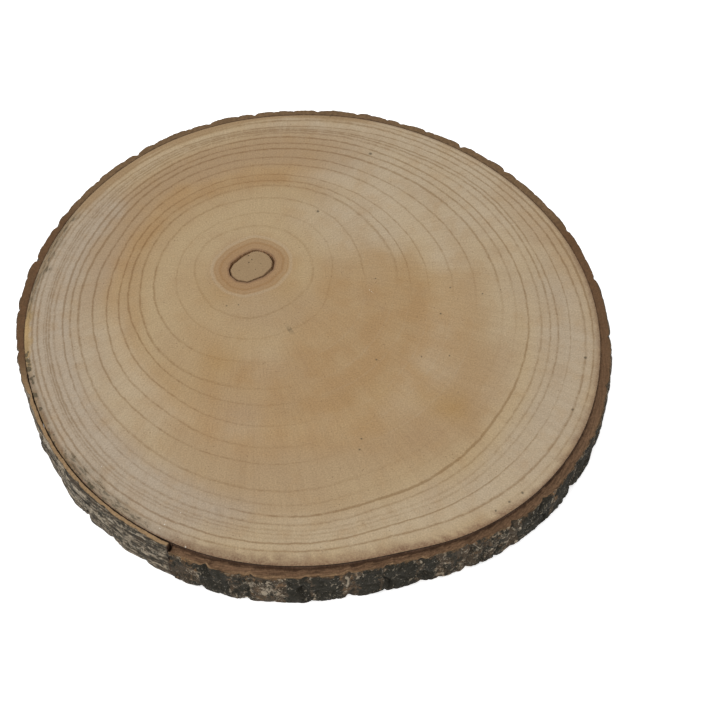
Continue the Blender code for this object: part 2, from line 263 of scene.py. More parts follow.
# Coloured edges of the face beside the bark, brown and olive mould spots, and grey streaks of
# mould along the rings: bearings from and to, how far in in mm, strength
EDGES = {
    "gold": ((177.0, 186.0, 3.0, 1.0), (196.0, 212.0, 1.2, 0.35)),
    "tan": ((75.0, 145.0, 3.4, 0.85), (145.0, 178.0, 2.4, 0.5), (20.0, 75.0, 1.0, 0.2)),
    "stain": (
        (190.0, 200.0, 1.6, 0.7), (200.0, 214.0, 1.8, 1.0), (214.0, 240.0, 0.9, 1.0),
        (242.0, 284.0, 4.8, 0.6), (242.0, 290.0, 1.8, 1.0), (284.0, 308.0, 2.4, 1.0),
        (308.0, 330.0, 1.8, 0.9), (330.0, 372.0, 2.6, 0.5), (330.0, 372.0, 0.9, 0.8),
        (12.0, 100.0, 0.6, 0.5)),
    "mould": (
        (185.0, 188.5, 2.4, 1.0), (188.0, 214.0, 3.0, 0.9), (208.0, 228.0, 3.4, 0.8),
        (228.0, 246.0, 3.0, 0.5), (80.0, 88.0, 2.0, 0.5)),
    "streaked": (
        (212.0, 234.0, 5.5, 1.0), (188.0, 212.0, 4.0, 0.6), (150.0, 174.0, 4.0, 1.0),
        (238.0, 262.0, 3.0, 0.4)),
}
EDGE_FADE = 6.0
# How uneven the borders are: a zone's in degrees and in shares, a patch's and an edge's as shares
ZONE_SWAY, ZONE_SWAY_SHARE = 12.0, 0.04
PATCH_SWAY, EDGE_SWAY = 0.6, 0.8
WIDE_SWAY_LENGTH, FINE_SWAY_LENGTH = 28.0 * MM, 4.0 * MM
UPPER_LAYER, LOWER_LAYER = 0.0, 40.0
UNDERSIDE_SHIFT = 300.0
# Small dark specks on the face: place in plan and radius, all in mm from the trunk's middle
SPECKS_MM = (
    (38.9, 103.0, 1.1), (21.1, -75.5, 0.7), (22.4, -69.7, 0.6), (32.6, -26.6, 0.7),
    (72.5, 13.4, 0.6), (88.1, 8.7, 0.6), (97.3, 10.5, 0.5), (66.1, -1.9, 0.6),
    (54.5, -26.4, 0.6), (68.0, -26.7, 0.6), (35.6, 21.4, 0.5), (93.8, -102.8, 0.9),
    (87.3, -106.9, 0.8), (80.5, -111.0, 0.7), (133.5, -32.2, 1.0), (123.0, -60.7, 0.8),
    (9.0, 66.0, 1.0), (-38.9, 9.9, 0.6), (-33.2, 10.1, 0.55), (-135.6, -15.2, 1.3),
    (-134.6, -18.2, 1.2), (-133.9, -21.4, 0.8))
PITH_SPECKS_MM = (
    (-27.5, 39.9, 0.55), (-27.4, 35.7, 0.6), (-25.9, 37.5, 0.45), (-30.6, 33.0, 0.3),
    (-21.5, 34.6, 0.3), (-24.2, 31.2, 0.3), (-32.5, 31.0, 0.25))
# Grains of pale sawdust, and a pale scratch
SAWDUST_MM = (
    (-98.2, -76.3, 0.3), (-68.6, -106.3, 0.35), (-71.2, -109.6, 0.3), (-61.8, -102.5, 0.3),
    (-58.2, -102.2, 0.3), (-69.0, -108.0, 0.35), (-135.2, -14.6, 0.35), (-59.6, -119.6, 0.4),
    (32.2, 14.6, 0.3), (33.0, 13.7, 0.3), (33.8, 12.8, 0.3))

# Angle from which an edge is shaded sharp
SHARP_SAWN, SHARP_BARK = radians(50.0), radians(70.0)

# The bark's mesh
BARK_COLUMNS = 1300
INNER_WALL_ROWS = 6
TOP_ROWS = 14
FACE_ROWS = 34
FOOT_ROWS = 3
BANDS = 5
BAND_MARGIN = 0.04
# Where the weathered face is darkest: bearings from and to, and the fade at each end
DARK_SIDE = (243.0, 338.0, 30.0)
# The nearly black plates there: bearings from and to, and how black
BLACK_PLATES = (
    (246.5, 252.6, 0.85), (253.2, 256.6, 0.6), (259.4, 261.0, 0.5), (263.4, 267.8, 0.95),
    (268.6, 273.6, 0.95), (277.0, 281.0, 1.0), (281.7, 288.2, 1.0), (289.0, 292.0, 1.0),
    (293.6, 297.0, 0.55), (299.5, 306.0, 0.5), (309.0, 316.5, 0.9), (317.2, 323.0, 0.95),
    (324.0, 330.8, 0.95), (332.2, 341.0, 0.8))
# Where the torn ledge is tan, and reddish brown elsewhere
TAN_LEDGE = (242.0, 292.0, 8.0)
# Where the sawn top is reddish, and olive brown elsewhere
RED_TOP = ((151.0, 183.0, 8.0), (296.0, 376.0, 10.0))
# Knobs at the loose strip's foot: bearing and how far they stand out in mm
STRIP_KNOBS = ((200.4, 0.9), (211.2, 0.8), (219.6, 0.6), (229.3, 0.8), (235.4, 0.5))
KNOB_HALF_WIDTH = 4.0 * MM
CRACK_UNEVEN = 0.25 * MM
# Noises on the bark: lengths along the rim and up or outwards, and layer
FLAKES = ((5.2 * MM, 8.5 * MM), 41.0)
BITS = ((2.4 * MM, 3.8 * MM), 47.0)
FINE_CRACK_LENGTHS, FINE_CRACK_LAYER = (4.6 * MM, 9.0 * MM), 53.0
TOP_CRUMBS = ((2.2 * MM, 1.1 * MM), 61.0)
EDGE_BREAKS = ((4.0 * MM, MM), 71.0)
PLATE_BORDERS = ((5.0 * MM, 7.0 * MM), 83.0)
HIDDEN_PLATES = ((9.0 * MM, 12.0 * MM), 89.0)
EDGE_BREAK_SHARE = 0.35
TOP_CRUMB_SHARE, TOP_GRAIN, TOP_CRUMB_MEAN = 0.16, 0.05 * MM, 0.6
# The black plates' borders in degrees, and how black the far side is
PLATE_INSET, PLATE_FADE, PLATE_SWAY = 0.4, 0.9, 1.1
HIDDEN_BLACK_MEAN, HIDDEN_BLACK_SWING = 0.45, 0.9
# How deep a ledge counts as fully torn, and how fast the strip's own colours set in
FULLY_TORN = 2.5 * MM
# How the fine relief fades: on the loose strip, at the top edge and near the foot
FINE_MEAN = 0.6
STRIP_LOSS, STRIP_LOSS_POWER = 0.55, 0.3
EDGE_LOSS = 0.65
FOOT_FADE = (-3.0 * MM, 4.0 * MM)
KNOB_TAPER = 0.8
# How a flush sawn top rounds over at its outer edge, and the least mark of its inner points
SAWN_EDGE_POWER = 1.6
LEAST_ACROSS = 0.02
STRIP_COLOUR_RISE = 20.0
# Values stored on each point of the bark; "depth" and "end" carry painted shade into the deep furrows
# and on to the ends at the split
BARK_MARKS = (
    "across", "depth", "torn", "strip", "dark", "low", "tan", "red", "black", "around", "end")

# The pith's mesh
PITH_COLUMNS = 128
PITH_TOP_SHARES = (0.985, 0.94, 0.86, 0.74, 0.6, 0.45, 0.3, 0.15)
PITH_EASE = 0.15 * MM
PITH_RAGGED = 0.15 * MM
PITH_MIDDLE_MARK = 8.0
PITH_SPECK_COLOUR = (0.03, 0.02, 0.012)

# The camera and light
CAMERA_PLACE = (-0.00025, -0.39752, 0.61532)
CAMERA_TURN = 3.8375
CAMERA_DIP = 57.5563
CAMERA_LENS = 71.815
FLOOR_HALF_WIDTH = 4.0
FLOOR_HEIGHT = -0.1 * MM
FLOOR_GLOW = 0.6
LAMP_PLACE = (-0.3, -0.2, 1.6)
LAMP_SIZE = 1.6
WHITE = (1.0, 1.0, 1.0, 1.0)


# Shapes shared with the model's source

def smooth_round(values, bearing):
    """Read evenly spaced values round a closed outline through a smooth curve."""
    count = len(values)
    place = (bearing % 360.0) * count / 360.0
    first = int(place)
    t = place - first
    a, b, c, d = (values[(first + k) % count] for k in (-1, 0, 1, 2))
    return b + 0.5 * t * (c - a + t * (2 * a - 5 * b + 4 * c - d + t * (3 * (b - c) + d - a)))


def smooth_step(low, high, value):
    t = min(1.0, max(0.0, (value - low) / (high - low)))
    return t * t * (3.0 - 2.0 * t)


def round_window(low, high, edge, bearing):
    """1 between two bearings, which may pass through 0 or 360, fading over the edge outside."""
    middle = 0.5 * (low + high)
    away = abs((bearing - middle + 180.0) % 360.0 - 180.0)
    half = 0.5 * (high - low)
    return 1.0 - smooth_step(half, half + edge, away)


def turn(radius, bearing, height, middle=Vector((0.0, 0.0, 0.0))):
    angle = radians(bearing)
    return middle + Vector((radius * cos(angle), radius * sin(angle), height))


def rim_radius(bearing):
    return smooth_round(RIM_RADII, bearing)


def straight_round(corners, bearing):
    """Radius in mm of an outline of straight sides between its corners."""
    for (first, near), (last, far) in zip(corners, corners[1:] + corners[:1]):
        opening = (last - first) % 360.0
        at = (bearing - first) % 360.0
        if at <= opening:
            parts = sin(radians(opening - at)) / near + sin(radians(at)) / far
            return sin(radians(opening)) / parts
    return corners[0][1]


def eased_round(corners, bearing):
    """The same outline in metres, with its corners a little worn."""
    around = [straight_round(corners, bearing + k * CORNER_EASE) for k in (-1, 0, 1)]
    return sum(around) / len(around) * MM


def hole_radius(bearing):
    return eased_round(HOLE_CORNERS, bearing)


def looseness(bearing):
    """0 where the bark sits tight, rising to 1 at the loose end beside the split."""
    plan = bearing % 360.0
    return smooth_step(LOOSE_FROM, SPLIT, plan) if plan < SPLIT else 0.0


def bark_gap(bearing):
    """The open crack beside the loose strip; elsewhere the bark touches the wood."""
    plan = bearing % 360.0
    if plan >= SPLIT:
        return 0.0
    opened = smooth_step(LOOSE_FROM - 2.0, LOOSE_FROM + 6.0, plan)
    uneven = CRACK_UNEVEN * noise.noise(Vector((plan / 2.6, 0.0, 5.0)))
    wider = (LOOSE_GAP - CRACK_WIDTH) * smooth_step(SPLIT - 7.0, SPLIT, plan)
    return opened * (CRACK_WIDTH + uneven) + wider


def thinness(bearing):
    """0 where the bark has its full thickness, 1 where it is a thin strip."""
    return min(1.0, STRIP_THINS * looseness(bearing))


def bark_thickness(bearing):
    full = smooth_round(BARK_THICKNESS, bearing)
    return full + (STRIP_THICKNESS - full) * thinness(bearing)


def torn_depth(bearing):
    """How far the bark's top lies below the face; the loose strip kept its sawn top."""
    if looseness(bearing) > 0.0:
        return 0.0
    return max(0.0, smooth_round(BARK_TORN, bearing))


def plan_furrows():
    """Every furrow and crack as its bearing, depth and half width."""
    draw = random.Random(FURROW_SEED)
    furrows = []
    for bearing in FURROWS:
        furrows.append((bearing, draw.uniform(*FURROW_DEPTH), FURROW_HALF_WIDTH))
    for here, after in zip(FURROWS, FURROWS[1:]):
        width = after - here
        for share in CRACK_SHARES if width > WIDE_PLATE else ():
            bearing = here + width * (share + draw.uniform(-CRACK_JITTER, CRACK_JITTER))
            furrows.append((bearing, draw.uniform(*CRACK_DEPTH), CRACK_HALF_WIDTH))
    return furrows


def wander(bearing, height):
    """How far a furrow strays sideways below the top face, in degrees."""
    around = bearing / WANDER_AROUND
    here = noise.noise(Vector((around, height / WANDER_LENGTH, WANDER_LAYER)))
    top = noise.noise(Vector((around, THICKNESS / WANDER_LENGTH, WANDER_LAYER)))
    return FURROW_WANDER * (here - top)


def relief(bearing, height, top, furrows):
    """How far the weathered face stands in from the bark's full thickness."""
    radius = rim_radius(bearing)
    furrow = 0.0
    for place, depth, half_width in furrows:
        span = abs(bearing - place) * radius * pi / 180.0
        notch = max(0.0, 1.0 - span / half_width)
        shoulder = exp(-(span / FURROW_SHOULDER) ** 2)
        fade = FADE_MEAN + noise.noise(Vector((place, height / FADE_LENGTH, FADE_LAYER)))
        cut = fade * depth * ((1.0 - SHOULDER_SHARE) * notch + SHOULDER_SHARE * shoulder)
        furrow = max(furrow, cut)
    around = radians(bearing) * radius
    lump = noise.noise(Vector((around / LUMP_LENGTH, height / LUMP_LENGTH, LUMP_LAYER)))
    edge = min(height, top - height)
    crumble = EDGE_CRUMBLE * exp(-(edge / EDGE_CRUMBLE_REACH) ** 2)
    set_back = furrow + LUMP_HEIGHT * (LUMP_MEAN - lump) + crumble
    flare = STRIP_FLARE * (1.0 - height / THICKNESS)
    strip = thinness(bearing)
    return set_back * (1.0 - STRIP_SMOOTHER * strip) - flare * strip


def plate_rise(bearing):
    """0 at a furrow, rising to 1 in the middle of a plate."""
    away = min(abs(bearing - place) for place in FURROWS)
    return smooth_step(0.0, RISE_REACH, radians(away) * rim_radius(bearing))


def slice_shift():
    """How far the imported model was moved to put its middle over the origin."""
    steps = [360.0 * k / CAD_RIM_COLUMNS for k in range(CAD_RIM_COLUMNS)]
    rim = [turn(rim_radius(b), b, 0.0) for b in steps]
    low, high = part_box("wood")
    shift = []
    for axis in (0, 1):
        own = 0.5 * (min(p[axis] for p in rim) + max(p[axis] for p in rim))
        shift.append(0.5 * (low[axis] + high[axis]) - own)
    return Vector((shift[0], shift[1], 0.0))


SHIFT = slice_shift()


# The user's settings

def length_setting(name, description, default_mm):
    return bpy.props.FloatProperty(
        name=name, description=description, default=default_mm * MM, min=0.0,
        precision=5, subtype="DISTANCE", unit="LENGTH")


def colour_setting(name, description, default):
    return bpy.props.FloatVectorProperty(
        name=name, description=description, default=default, size=3, min=0.0, max=1.0,
        subtype="COLOR")


def share_setting(name, description, default):
    return bpy.props.FloatProperty(
        name=name, description=description, default=default, min=0.0, max=1.0,
        subtype="FACTOR")


class SliceWoodSettings(bpy.types.PropertyGroup):
    """Colours and line widths of the sawn wood."""

    heart: colour_setting("Heart", "Plain wood near the pith", (0.460, 0.338, 0.193))
    warm: colour_setting("Warm Wood", "Orange-tan zones of the heart", (0.40, 0.253, 0.121))
    pale: colour_setting("Pale Wood", "Greyish sapwood", (0.485, 0.384, 0.26))
    pink: colour_setting("Pink Wood", "Pinkish-brown bands between outer rings", (0.382, 0.258, 0.148))
    grey: colour_setting("Grey Wood", "Greyish pink outer sapwood", (0.425, 0.345, 0.258))
    line: colour_setting("Ring Tint", "What a ring's line multiplies the wood by", (0.70, 0.635, 0.56))
    pore: colour_setting("Pores", "Dark pores and rays", (0.19, 0.11, 0.055))
    halo: colour_setting("Halo", "Stained wood round the pith", (0.34, 0.197, 0.094))
    orange: colour_setting("Orange Wood", "Small orange spots of the heart", (0.385, 0.225, 0.07))
    amber: colour_setting("Amber Ring", "Orange-brown ring round the pith", (0.30, 0.165, 0.065))
    tan: colour_setting("Tan Edge", "Browned wood just inside the bark", (0.34, 0.225, 0.12))
    gold: colour_setting("Gold Edge", "Yellow inner bark left on the rim", (0.46, 0.305, 0.13))
    stain: colour_setting("Stained Edge", "Brown edge of the face", (0.20, 0.11, 0.062))
    mould: colour_setting("Mould", "Mould and specks near the rim", (0.075, 0.062, 0.036))
    dust: colour_setting("Sawdust", "Pale grains and scratches", (0.80, 0.74, 0.64))
    side: colour_setting("Side", "Wood's outer side under the bark", (0.085, 0.046, 0.026))
    hole: colour_setting("Pith Hole", "Wall of the pith's hole", (0.42, 0.25, 0.13))
    line_width: length_setting("Line Width", "Width of a ring's dark line", 0.95)
    grain: share_setting("Grain", "Strength of the fine end grain", 0.85)


class SliceBarkSettings(bpy.types.PropertyGroup):
    """Colours and relief of the bark."""

    dark: colour_setting("Black Plates", "Weathered face of the plates", (0.030, 0.027, 0.020))
    mid: colour_setting("Brown Bark", "Younger bark between the plates", (0.070, 0.052, 0.035))
    light: colour_setting("Grey Crust", "Grey-tan crust on the weathered face", (0.36, 0.30, 0.22))
    pale: colour_setting("Lichen", "Palest flecks", (0.54, 0.49, 0.41))
    rust: colour_setting("Rust", "Fresh broken bark", (0.23, 0.125, 0.055))
    cut: colour_setting("Sawn Bark", "The bark's flush sawn top", (0.19, 0.118, 0.062))
    red: colour_setting("Reddish Bark", "Reddish parts of the sawn top", (0.140, 0.075, 0.037))
    torn: colour_setting("Torn Bark", "Tan fibres of the torn ledge", (0.34, 0.222, 0.118))
    ledge: colour_setting("Torn Ledge", "Reddish brown of the torn ledge", (0.21, 0.122, 0.069))
    # Inner Wall is partly the bark's dark inner layer and partly painted shade: it darkens the bark's
    # inside, its top's edge beside the wood and the ends at the split, where shade falls
    inner: colour_setting("Inner Wall", "Bark's dark inside", (0.03, 0.014, 0.009))
    flake_height: length_setting("Flake Height", "Step at the edge of a bark flake", 0.45)
    crack_depth: length_setting("Crack Depth", "Depth of the fine cracks", 0.5)


class SlicePithSettings(bpy.types.PropertyGroup):
    """Colours of the pith."""

    body: colour_setting("Pith", "Soft plain pith", (0.333, 0.228, 0.125))
    edge: colour_setting("Pith Edge", "Browned edge of the pith", (0.26, 0.16, 0.085))


class SliceStageSettings(bpy.types.PropertyGroup):
    """Floor and light of the studio."""

    floor: colour_setting("Floor", "Colour of the plain floor", (0.93, 0.93, 0.93))
    sky: bpy.props.FloatProperty(
        name="Surrounding Light", description="Strength of the even light", default=0.48, min=0.0)
    lamp: bpy.props.FloatProperty(
        name="Lamp", description="Power of the large soft lamp", default=16.0, min=0.0,
        subtype="POWER", unit="POWER")


# Mesh building

def grid_quads(rows, columns, wrap_rows, wrap_columns):
    """Corners of the quads of a grid stored row by row."""
    row = np.arange(rows if wrap_rows else rows - 1)[:, None]
    column = np.arange(columns if wrap_columns else columns - 1)[None, :]
    above = (row + 1) % rows
    after = (column + 1) % columns
    quads = (row * columns + column, row * columns + after,
             above * columns + after, above * columns + column)
    return np.stack(np.broadcast_arrays(*quads), axis=-1).reshape(-1, 4)


def add_object(name, data):
    made = bpy.data.objects.new(name, data)
    bpy.context.scene.collection.objects.link(made)
    return made


def add_piece(name, points, faces, materials, marks):
    """Make a smooth-shaded object from points and faces, with point values to colour it by."""
    mesh = bpy.data.meshes.new(name)
    mesh.from_pydata(points.tolist(), [], faces)
    for material in materials:
        mesh.materials.append(material)
    for mark, values in marks.items():
        layer = mesh.attributes.new(mark, "FLOAT", "POINT")
        layer.data.foreach_set("value", np.asarray(values, dtype=np.float32).ravel())
    mesh.shade_smooth()
    return add_object(name, mesh)


def lay_bake_map(piece, corners):
    """Give the piece the flat layout that its textures are baked through."""
    layer = piece.data.uv_layers.new(name=BAKE_MAP)
    layer.data.foreach_set("uv", np.asarray(corners, dtype=np.float32).ravel())


def plan_layout(points, faces):
    """A layout that looks straight down on the faces and fills the square."""
    places = points[faces][..., :2]
    low = places.reshape(-1, 2).min(axis=0)
    high = places.reshape(-1, 2).max(axis=0)
    return (places - low) / (high - low)


def stack_bands(column, up, columns, bands):
    """Corners of a long strip of quads, cut into bands that stack to fill the square."""
    per_band = -(-columns // bands)
    band = column // per_band
    along = (column - band * per_band + np.array([0, 1, 1, 0])) / per_band
    height = (band + BAND_MARGIN + (1.0 - 2.0 * BAND_MARGIN) * up) / bands
    return np.stack(np.broadcast_arrays(along, height), axis=-1)


def banded_layout(rows, columns, bands):
    up = (np.arange(rows)[:, None, None] + np.array([0, 0, 1, 1])) / rows
    return stack_bands(np.arange(columns)[None, :, None], up, columns, bands).reshape(-1, 4, 2)


# Node building

class Wiring:
    """Adds nodes to one shader tree, and feeds their sockets with values or links."""

    def __init__(self, tree):
        self.tree = tree

    def feed(self, socket, value):
        if isinstance(value, bpy.types.NodeSocket):
            self.tree.links.new(value, socket)
        elif socket.type == "RGBA":
            socket.default_value = (*tuple(value)[:3], 1.0)
        else:
            socket.default_value = value

    def node(self, kind, feeds=None, **settings):
        made = self.tree.nodes.new(kind)
        for name, value in settings.items():
            setattr(made, name, value)
        for key, value in (feeds or {}).items():
            self.feed(made.inputs[key], value)
        return made

    def math(self, operation, first, second=0.0, third=0.0, clamp=False):
        feeds = {0: first, 1: second, 2: third}
        made = self.node("ShaderNodeMath", feeds, operation=operation, use_clamp=clamp)
        return made.outputs[0]

    def times(self, first, second):
        return self.math("MULTIPLY", first, second)

    def plus(self, first, second):
        return self.math("ADD", first, second)

    def minus(self, first, second):
        return self.math("SUBTRACT", first, second)

    def times_plus(self, first, second, third):
        return self.math("MULTIPLY_ADD", first, second, third)

    def vector(self, operation, feeds, output=0):
        return self.node("ShaderNodeVectorMath", feeds, operation=operation).outputs[output]

    def join(self, x, y):
        return self.node("ShaderNodeCombineXYZ", {0: x, 1: y}).outputs[0]

    def mix(self, share, first, second, blend="MIX"):
        feeds = {0: share, 6: first, 7: second}
        made = self.node("ShaderNodeMix", feeds, data_type="RGBA", blend_type=blend)
        return made.outputs[2]

    def layers(self, colour, *layers):
        """Lay further colours over one, each by its share."""
        for share, over in layers:
            colour = self.mix(share, colour, over)
        return colour

    def span(self, value, low, high, to_low=0.0, to_high=1.0):
        """Map low..high on to to_low..to_high along a smooth step."""
        feeds = {0: value, 1: low, 2: high, 3: to_low, 4: to_high}
        made = self.node("ShaderNodeMapRange", feeds, interpolation_type="SMOOTHSTEP")
        return made.outputs[0]

    def band(self, value, middle, half_width, strength):
        """A soft band of the given strength where the value is near the middle."""
        away = self.math("ABSOLUTE", self.minus(value, middle))
        return self.span(away, 0.0, half_width, strength, 0.0)

    def mark(self, name):
        """A value stored on the piece's points."""
        return self.node("ShaderNodeAttribute", attribute_name=name).outputs["Fac"]

    def place_mm(self, stretch=(1.0, 1.0, 1.0), shift=(0.0, 0.0, 0.0)):
        """The point's own place in millimetres, stretched for noise that runs one way."""
        source = self.node("ShaderNodeTexCoord").outputs["Object"]
        factors = tuple(1000.0 * s for s in stretch)
        return self.vector("MULTIPLY_ADD", {0: source, 1: factors, 2: shift})

    def cloud(self, place, size_mm, detail=2.0, roughness=0.5, distortion=0.0):
        """Smooth noise whose blobs are about size_mm across."""
        linked = isinstance(size_mm, bpy.types.NodeSocket)
        scale = self.math("DIVIDE", 1.0, size_mm) if linked else 1.0 / size_mm
        feeds = {"Vector": place, "Scale": scale, "Detail": detail,
                 "Roughness": roughness, "Distortion": distortion}
        return self.node("ShaderNodeTexNoise", feeds).outputs["Fac"]

    def ragged(self, place, size_mm, detail, roughness=0.5):
        """The same noise, swinging both ways about 0."""
        return self.minus(self.cloud(place, size_mm, detail, roughness), 0.5)

    def cells(self, place, size_mm):
        """Distance from the middle of each of many uneven cells."""
        feeds = {"Vector": place, "Scale": 1.0 / size_mm}
        return self.node("ShaderNodeTexVoronoi", feeds).outputs["Distance"]

    def group(self, tree, feeds):
        made = self.node("ShaderNodeGroup", node_tree=tree)
        for key, value in feeds.items():
            self.feed(made.inputs[key], value)
        return made.outputs

    def bump(self, height, depth_mm, strength=1.0):
        feeds = {"Height": height, "Distance": depth_mm * MM, "Strength": strength}
        return self.node("ShaderNodeBump", feeds).outputs[0]


def new_group(name, inputs, outputs):
    """An empty node group with its sockets; returns its wiring, its inputs and its exit."""
    tree = bpy.data.node_groups.new(name, "ShaderNodeTree")
    kinds = {"value": "NodeSocketFloat", "colour": "NodeSocketColor", "vector": "NodeSocketVector"}
    for socket, kind in inputs:
        tree.interface.new_socket(socket, in_out="INPUT", socket_type=kinds[kind])
    for socket, kind in outputs:
        tree.interface.new_socket(socket, in_out="OUTPUT", socket_type=kinds[kind])
    wiring = Wiring(tree)
    return wiring, wiring.node("NodeGroupInput").outputs, wiring.node("NodeGroupOutput").inputs


def once(name, make):
    """The named node group, made the first time that it is asked for."""
    return bpy.data.node_groups.get(name) or make(name)


def new_material(name):
    """A material with only its shader and output; returns it, its wiring and the shader's inputs."""
    material = bpy.data.materials.new(name)
    material.use_nodes = True
    shader = material.node_tree.nodes["Principled BSDF"]
    shader.inputs["Specular IOR Level"].default_value = 0.25
    return material, Wiring(material.node_tree), shader.inputs


# Shared effects

def make_speckle(name):
    """Fine two-sided speckle that lightens and darkens a colour."""
    wiring, inputs, outputs = new_group(
        name,
        (("Colour", "colour"), ("Place", "vector"), ("Size", "value"), ("Strength", "value")),
        (("Colour", "colour"), ("Height", "value")))
    height = wiring.cloud(inputs["Place"], inputs["Size"], 3.0, 0.65)
    factor = wiring.plus(1.0, wiring.times(wiring.minus(height, 0.5), inputs["Strength"]))
    wiring.feed(outputs["Colour"], wiring.vector("SCALE", {0: inputs["Colour"], "Scale": factor}))
    wiring.feed(outputs["Height"], height)
    return wiring.tree


def make_ring_lines(name):
    """Soft dark lines at the growth rings, broken into darker and fainter stretches."""
    wiring, inputs, outputs = new_group(
        name,
        (("Ring", "value"), ("Spacing", "value"), ("Strength", "value"), ("Width", "value"),
         ("Place", "vector")),
        (("Line", "value"),))
    off_mm = wiring.times(wiring.ragged(inputs["Place"], 4.0, 3.0, 0.6), 0.9)
    ring = wiring.plus(inputs["Ring"], wiring.math("DIVIDE", off_mm, inputs["Spacing"]))
    part = wiring.math("FRACT", wiring.plus(ring, 0.5))
    from_line = wiring.times(wiring.minus(part, 0.5), inputs["Spacing"])
    widths = wiring.math("DIVIDE", from_line, wiring.times(inputs["Width"], 0.5))
    core = wiring.math("EXPONENT", wiring.times(wiring.times(widths, widths), -1.0))
    dashes = wiring.span(wiring.cloud(inputs["Place"], 3.2, 4.0, 0.7), 0.3, 0.72, 0.45, 1.5)
    wiring.feed(outputs["Line"], wiring.times(wiring.times(core, dashes), inputs["Strength"]))
    return wiring.tree


def make_flecks(name):
    """A mask of small broken flecks, denser where Amount is higher."""
    wiring, inputs, outputs = new_group(
        name, (("Place", "vector"), ("Size", "value"), ("Amount", "value")), (("Mask", "value"),))
    spots = wiring.cloud(inputs["Place"], inputs["Size"], 4.0, 0.68, 0.6)
    rise = wiring.minus(spots, wiring.minus(0.78, wiring.times(inputs["Amount"], 0.42)))
    wiring.feed(outputs["Mask"], wiring.math("MULTIPLY", rise, 14.0, clamp=True))
    return wiring.tree


def flecks(wiring, place, size_mm, amount):
    tree = once("Slice Flecks", make_flecks)
    return wiring.group(tree, {"Place": place, "Size": size_mm, "Amount": amount})["Mask"]


def speckle(wiring, shader, colour, place, size_mm, strength):
    """Feed the shader the speckled colour; returns the speckle's height."""
    speckled = wiring.group(once("Slice Speckle", make_speckle), {
        "Colour": colour, "Place": place, "Size": size_mm, "Strength": strength})
    wiring.feed(shader["Base Color"], speckled["Colour"])
    return speckled["Height"]


def shaded(colour, factor):
    return tuple(min(1.0, factor * c) for c in colour)


def spots_mask(wiring, place, spots_mm):
    """A mask of a few small round specks at given places."""
    flat = wiring.vector("MULTIPLY", {0: place, 1: (1.0, 1.0, 0.0)})
    uneven = wiring.times(wiring.cloud(place, 0.8, 2.0), 0.9)
    total = None
    for x, y, radius in spots_mm:
        middle = (x + SHIFT.x / MM, y + SHIFT.y / MM, 0.0)
        away = wiring.plus(wiring.vector("DISTANCE", {0: flat, 1: middle}, "Value"), uneven)
        spot = wiring.span(away, 0.5 * radius + 0.3, radius + 0.5, 1.0, 0.0)
        total = spot if total is None else wiring.math("MAXIMUM", total, spot)
    return total


# The sawn wood

def rim_from_pith(bearings):
    """Distance from the pith's middle to the rim on each bearing."""
    steps = [360.0 * k / RIM_STEPS for k in range(RIM_STEPS)]
    points = [turn(rim_radius(b), b, 0.0) - PITH_MIDDLE for b in steps]
    seen = [degrees(atan2(p.y, p.x)) % 360.0 for p in points]
    away = [hypot(p.x, p.y) for p in points]
    order = np.argsort(seen)
    return np.interp(bearings, np.array(seen)[order], np.array(away)[order], period=360.0)


def face_rows(bearings):
    """Rows of the face from the pith's hole to the rim, as radii with the marks to colour by."""
    rim = rim_from_pith(bearings)
    hole = np.array([hole_radius(b) for b in bearings])
    curves = [hole]
    lines = [np.zeros(len(bearings))]
    for fade, dark, places in RINGS:
        share = 0.001 * np.array([smooth_round(places, b) for b in bearings])
        wiggle = []
        for k, b in enumerate(bearings):
            spot = turn(share[k] * rim[k], b, 0.0) / WIGGLE_LENGTH
            wiggle.append(WIGGLE * (noise.noise(spot) + noise.noise(3.0 * spot)))
        curves.append(share * rim + np.array(wiggle))
        lines.append(dark * np.array([smooth_round(RING_FADES[fade], b) for b in bearings]))
    curves.append(rim)
    lines.append(np.zeros(len(bearings)))
    draw = random.Random(BAND_SEED)
    tones = [draw.uniform(-1.0, 1.0) for _ in curves]
    rows = []
    for k in range(len(curves) - 1):
        gap = curves[k + 1] - curves[k]
        parts = max(2, int(round(float(gap.mean()) / ROW_SPACING)))
        for step in range(parts + (k == len(curves) - 2)):
            t = step / parts
            radius = curves[k] + gap * t
            rows.append({
                "radius": radius,
                "ring": np.full(len(bearings), k + t),
                "spacing": gap / MM,
                "line": lines[k] * (1.0 - t) + lines[k + 1] * t,
                "tone": np.full(len(bearings), tones[k]),
                "share": radius / rim,
                "from_rim": (rim - radius) / MM,
                "around": np.radians(bearings) * rim / MM,
                "from_pith": (radius - hole) / MM,
            })
    return rows


def zone_strength(zones, bearing, share, jitter):
    """How much of a colour the zones together lay on one point of the face."""
    bare = 1.0
    for first, last, inner, outer, strength in zones:
        around = round_window(first + ZONE_EDGE, last - ZONE_EDGE, 2.0 * ZONE_EDGE,
                              bearing + ZONE_SWAY * jitter)
        at = share + ZONE_SWAY_SHARE * jitter
        along = smooth_step(inner - ZONE_EDGE_SHARE, inner + ZONE_EDGE_SHARE, at)
        along *= 1.0 - smooth_step(outer - ZONE_EDGE_SHARE, outer + ZONE_EDGE_SHARE, at)
        bare *= 1.0 - strength * around * along
    return 1.0 - bare


def with_patches(name, strength, spot, jitter):
    """The zones' strength with the soft round patches of that kind laid over them."""
    bare = 1.0 - strength
    for x, y, radius, amount in PATCHES[name]:
        away = hypot(spot.x / MM - x, spot.y / MM - y) * (1.0 + PATCH_SWAY * jitter)
        bare *= 1.0 - amount * exp(-(away / radius) ** 2)
    return 1.0 - bare


def edge_strength(edges, bearing, away_mm, jitter):
    strongest = 0.0
    for first, last, width, strength in edges:
        around = round_window(first, last, EDGE_FADE, bearing)
        inwards = smooth_step(0.5, 1.3, away_mm / (width * (1.0 + EDGE_SWAY * jitter)))
        strongest = max(strongest, strength * around * (1.0 - inwards))
    return strongest


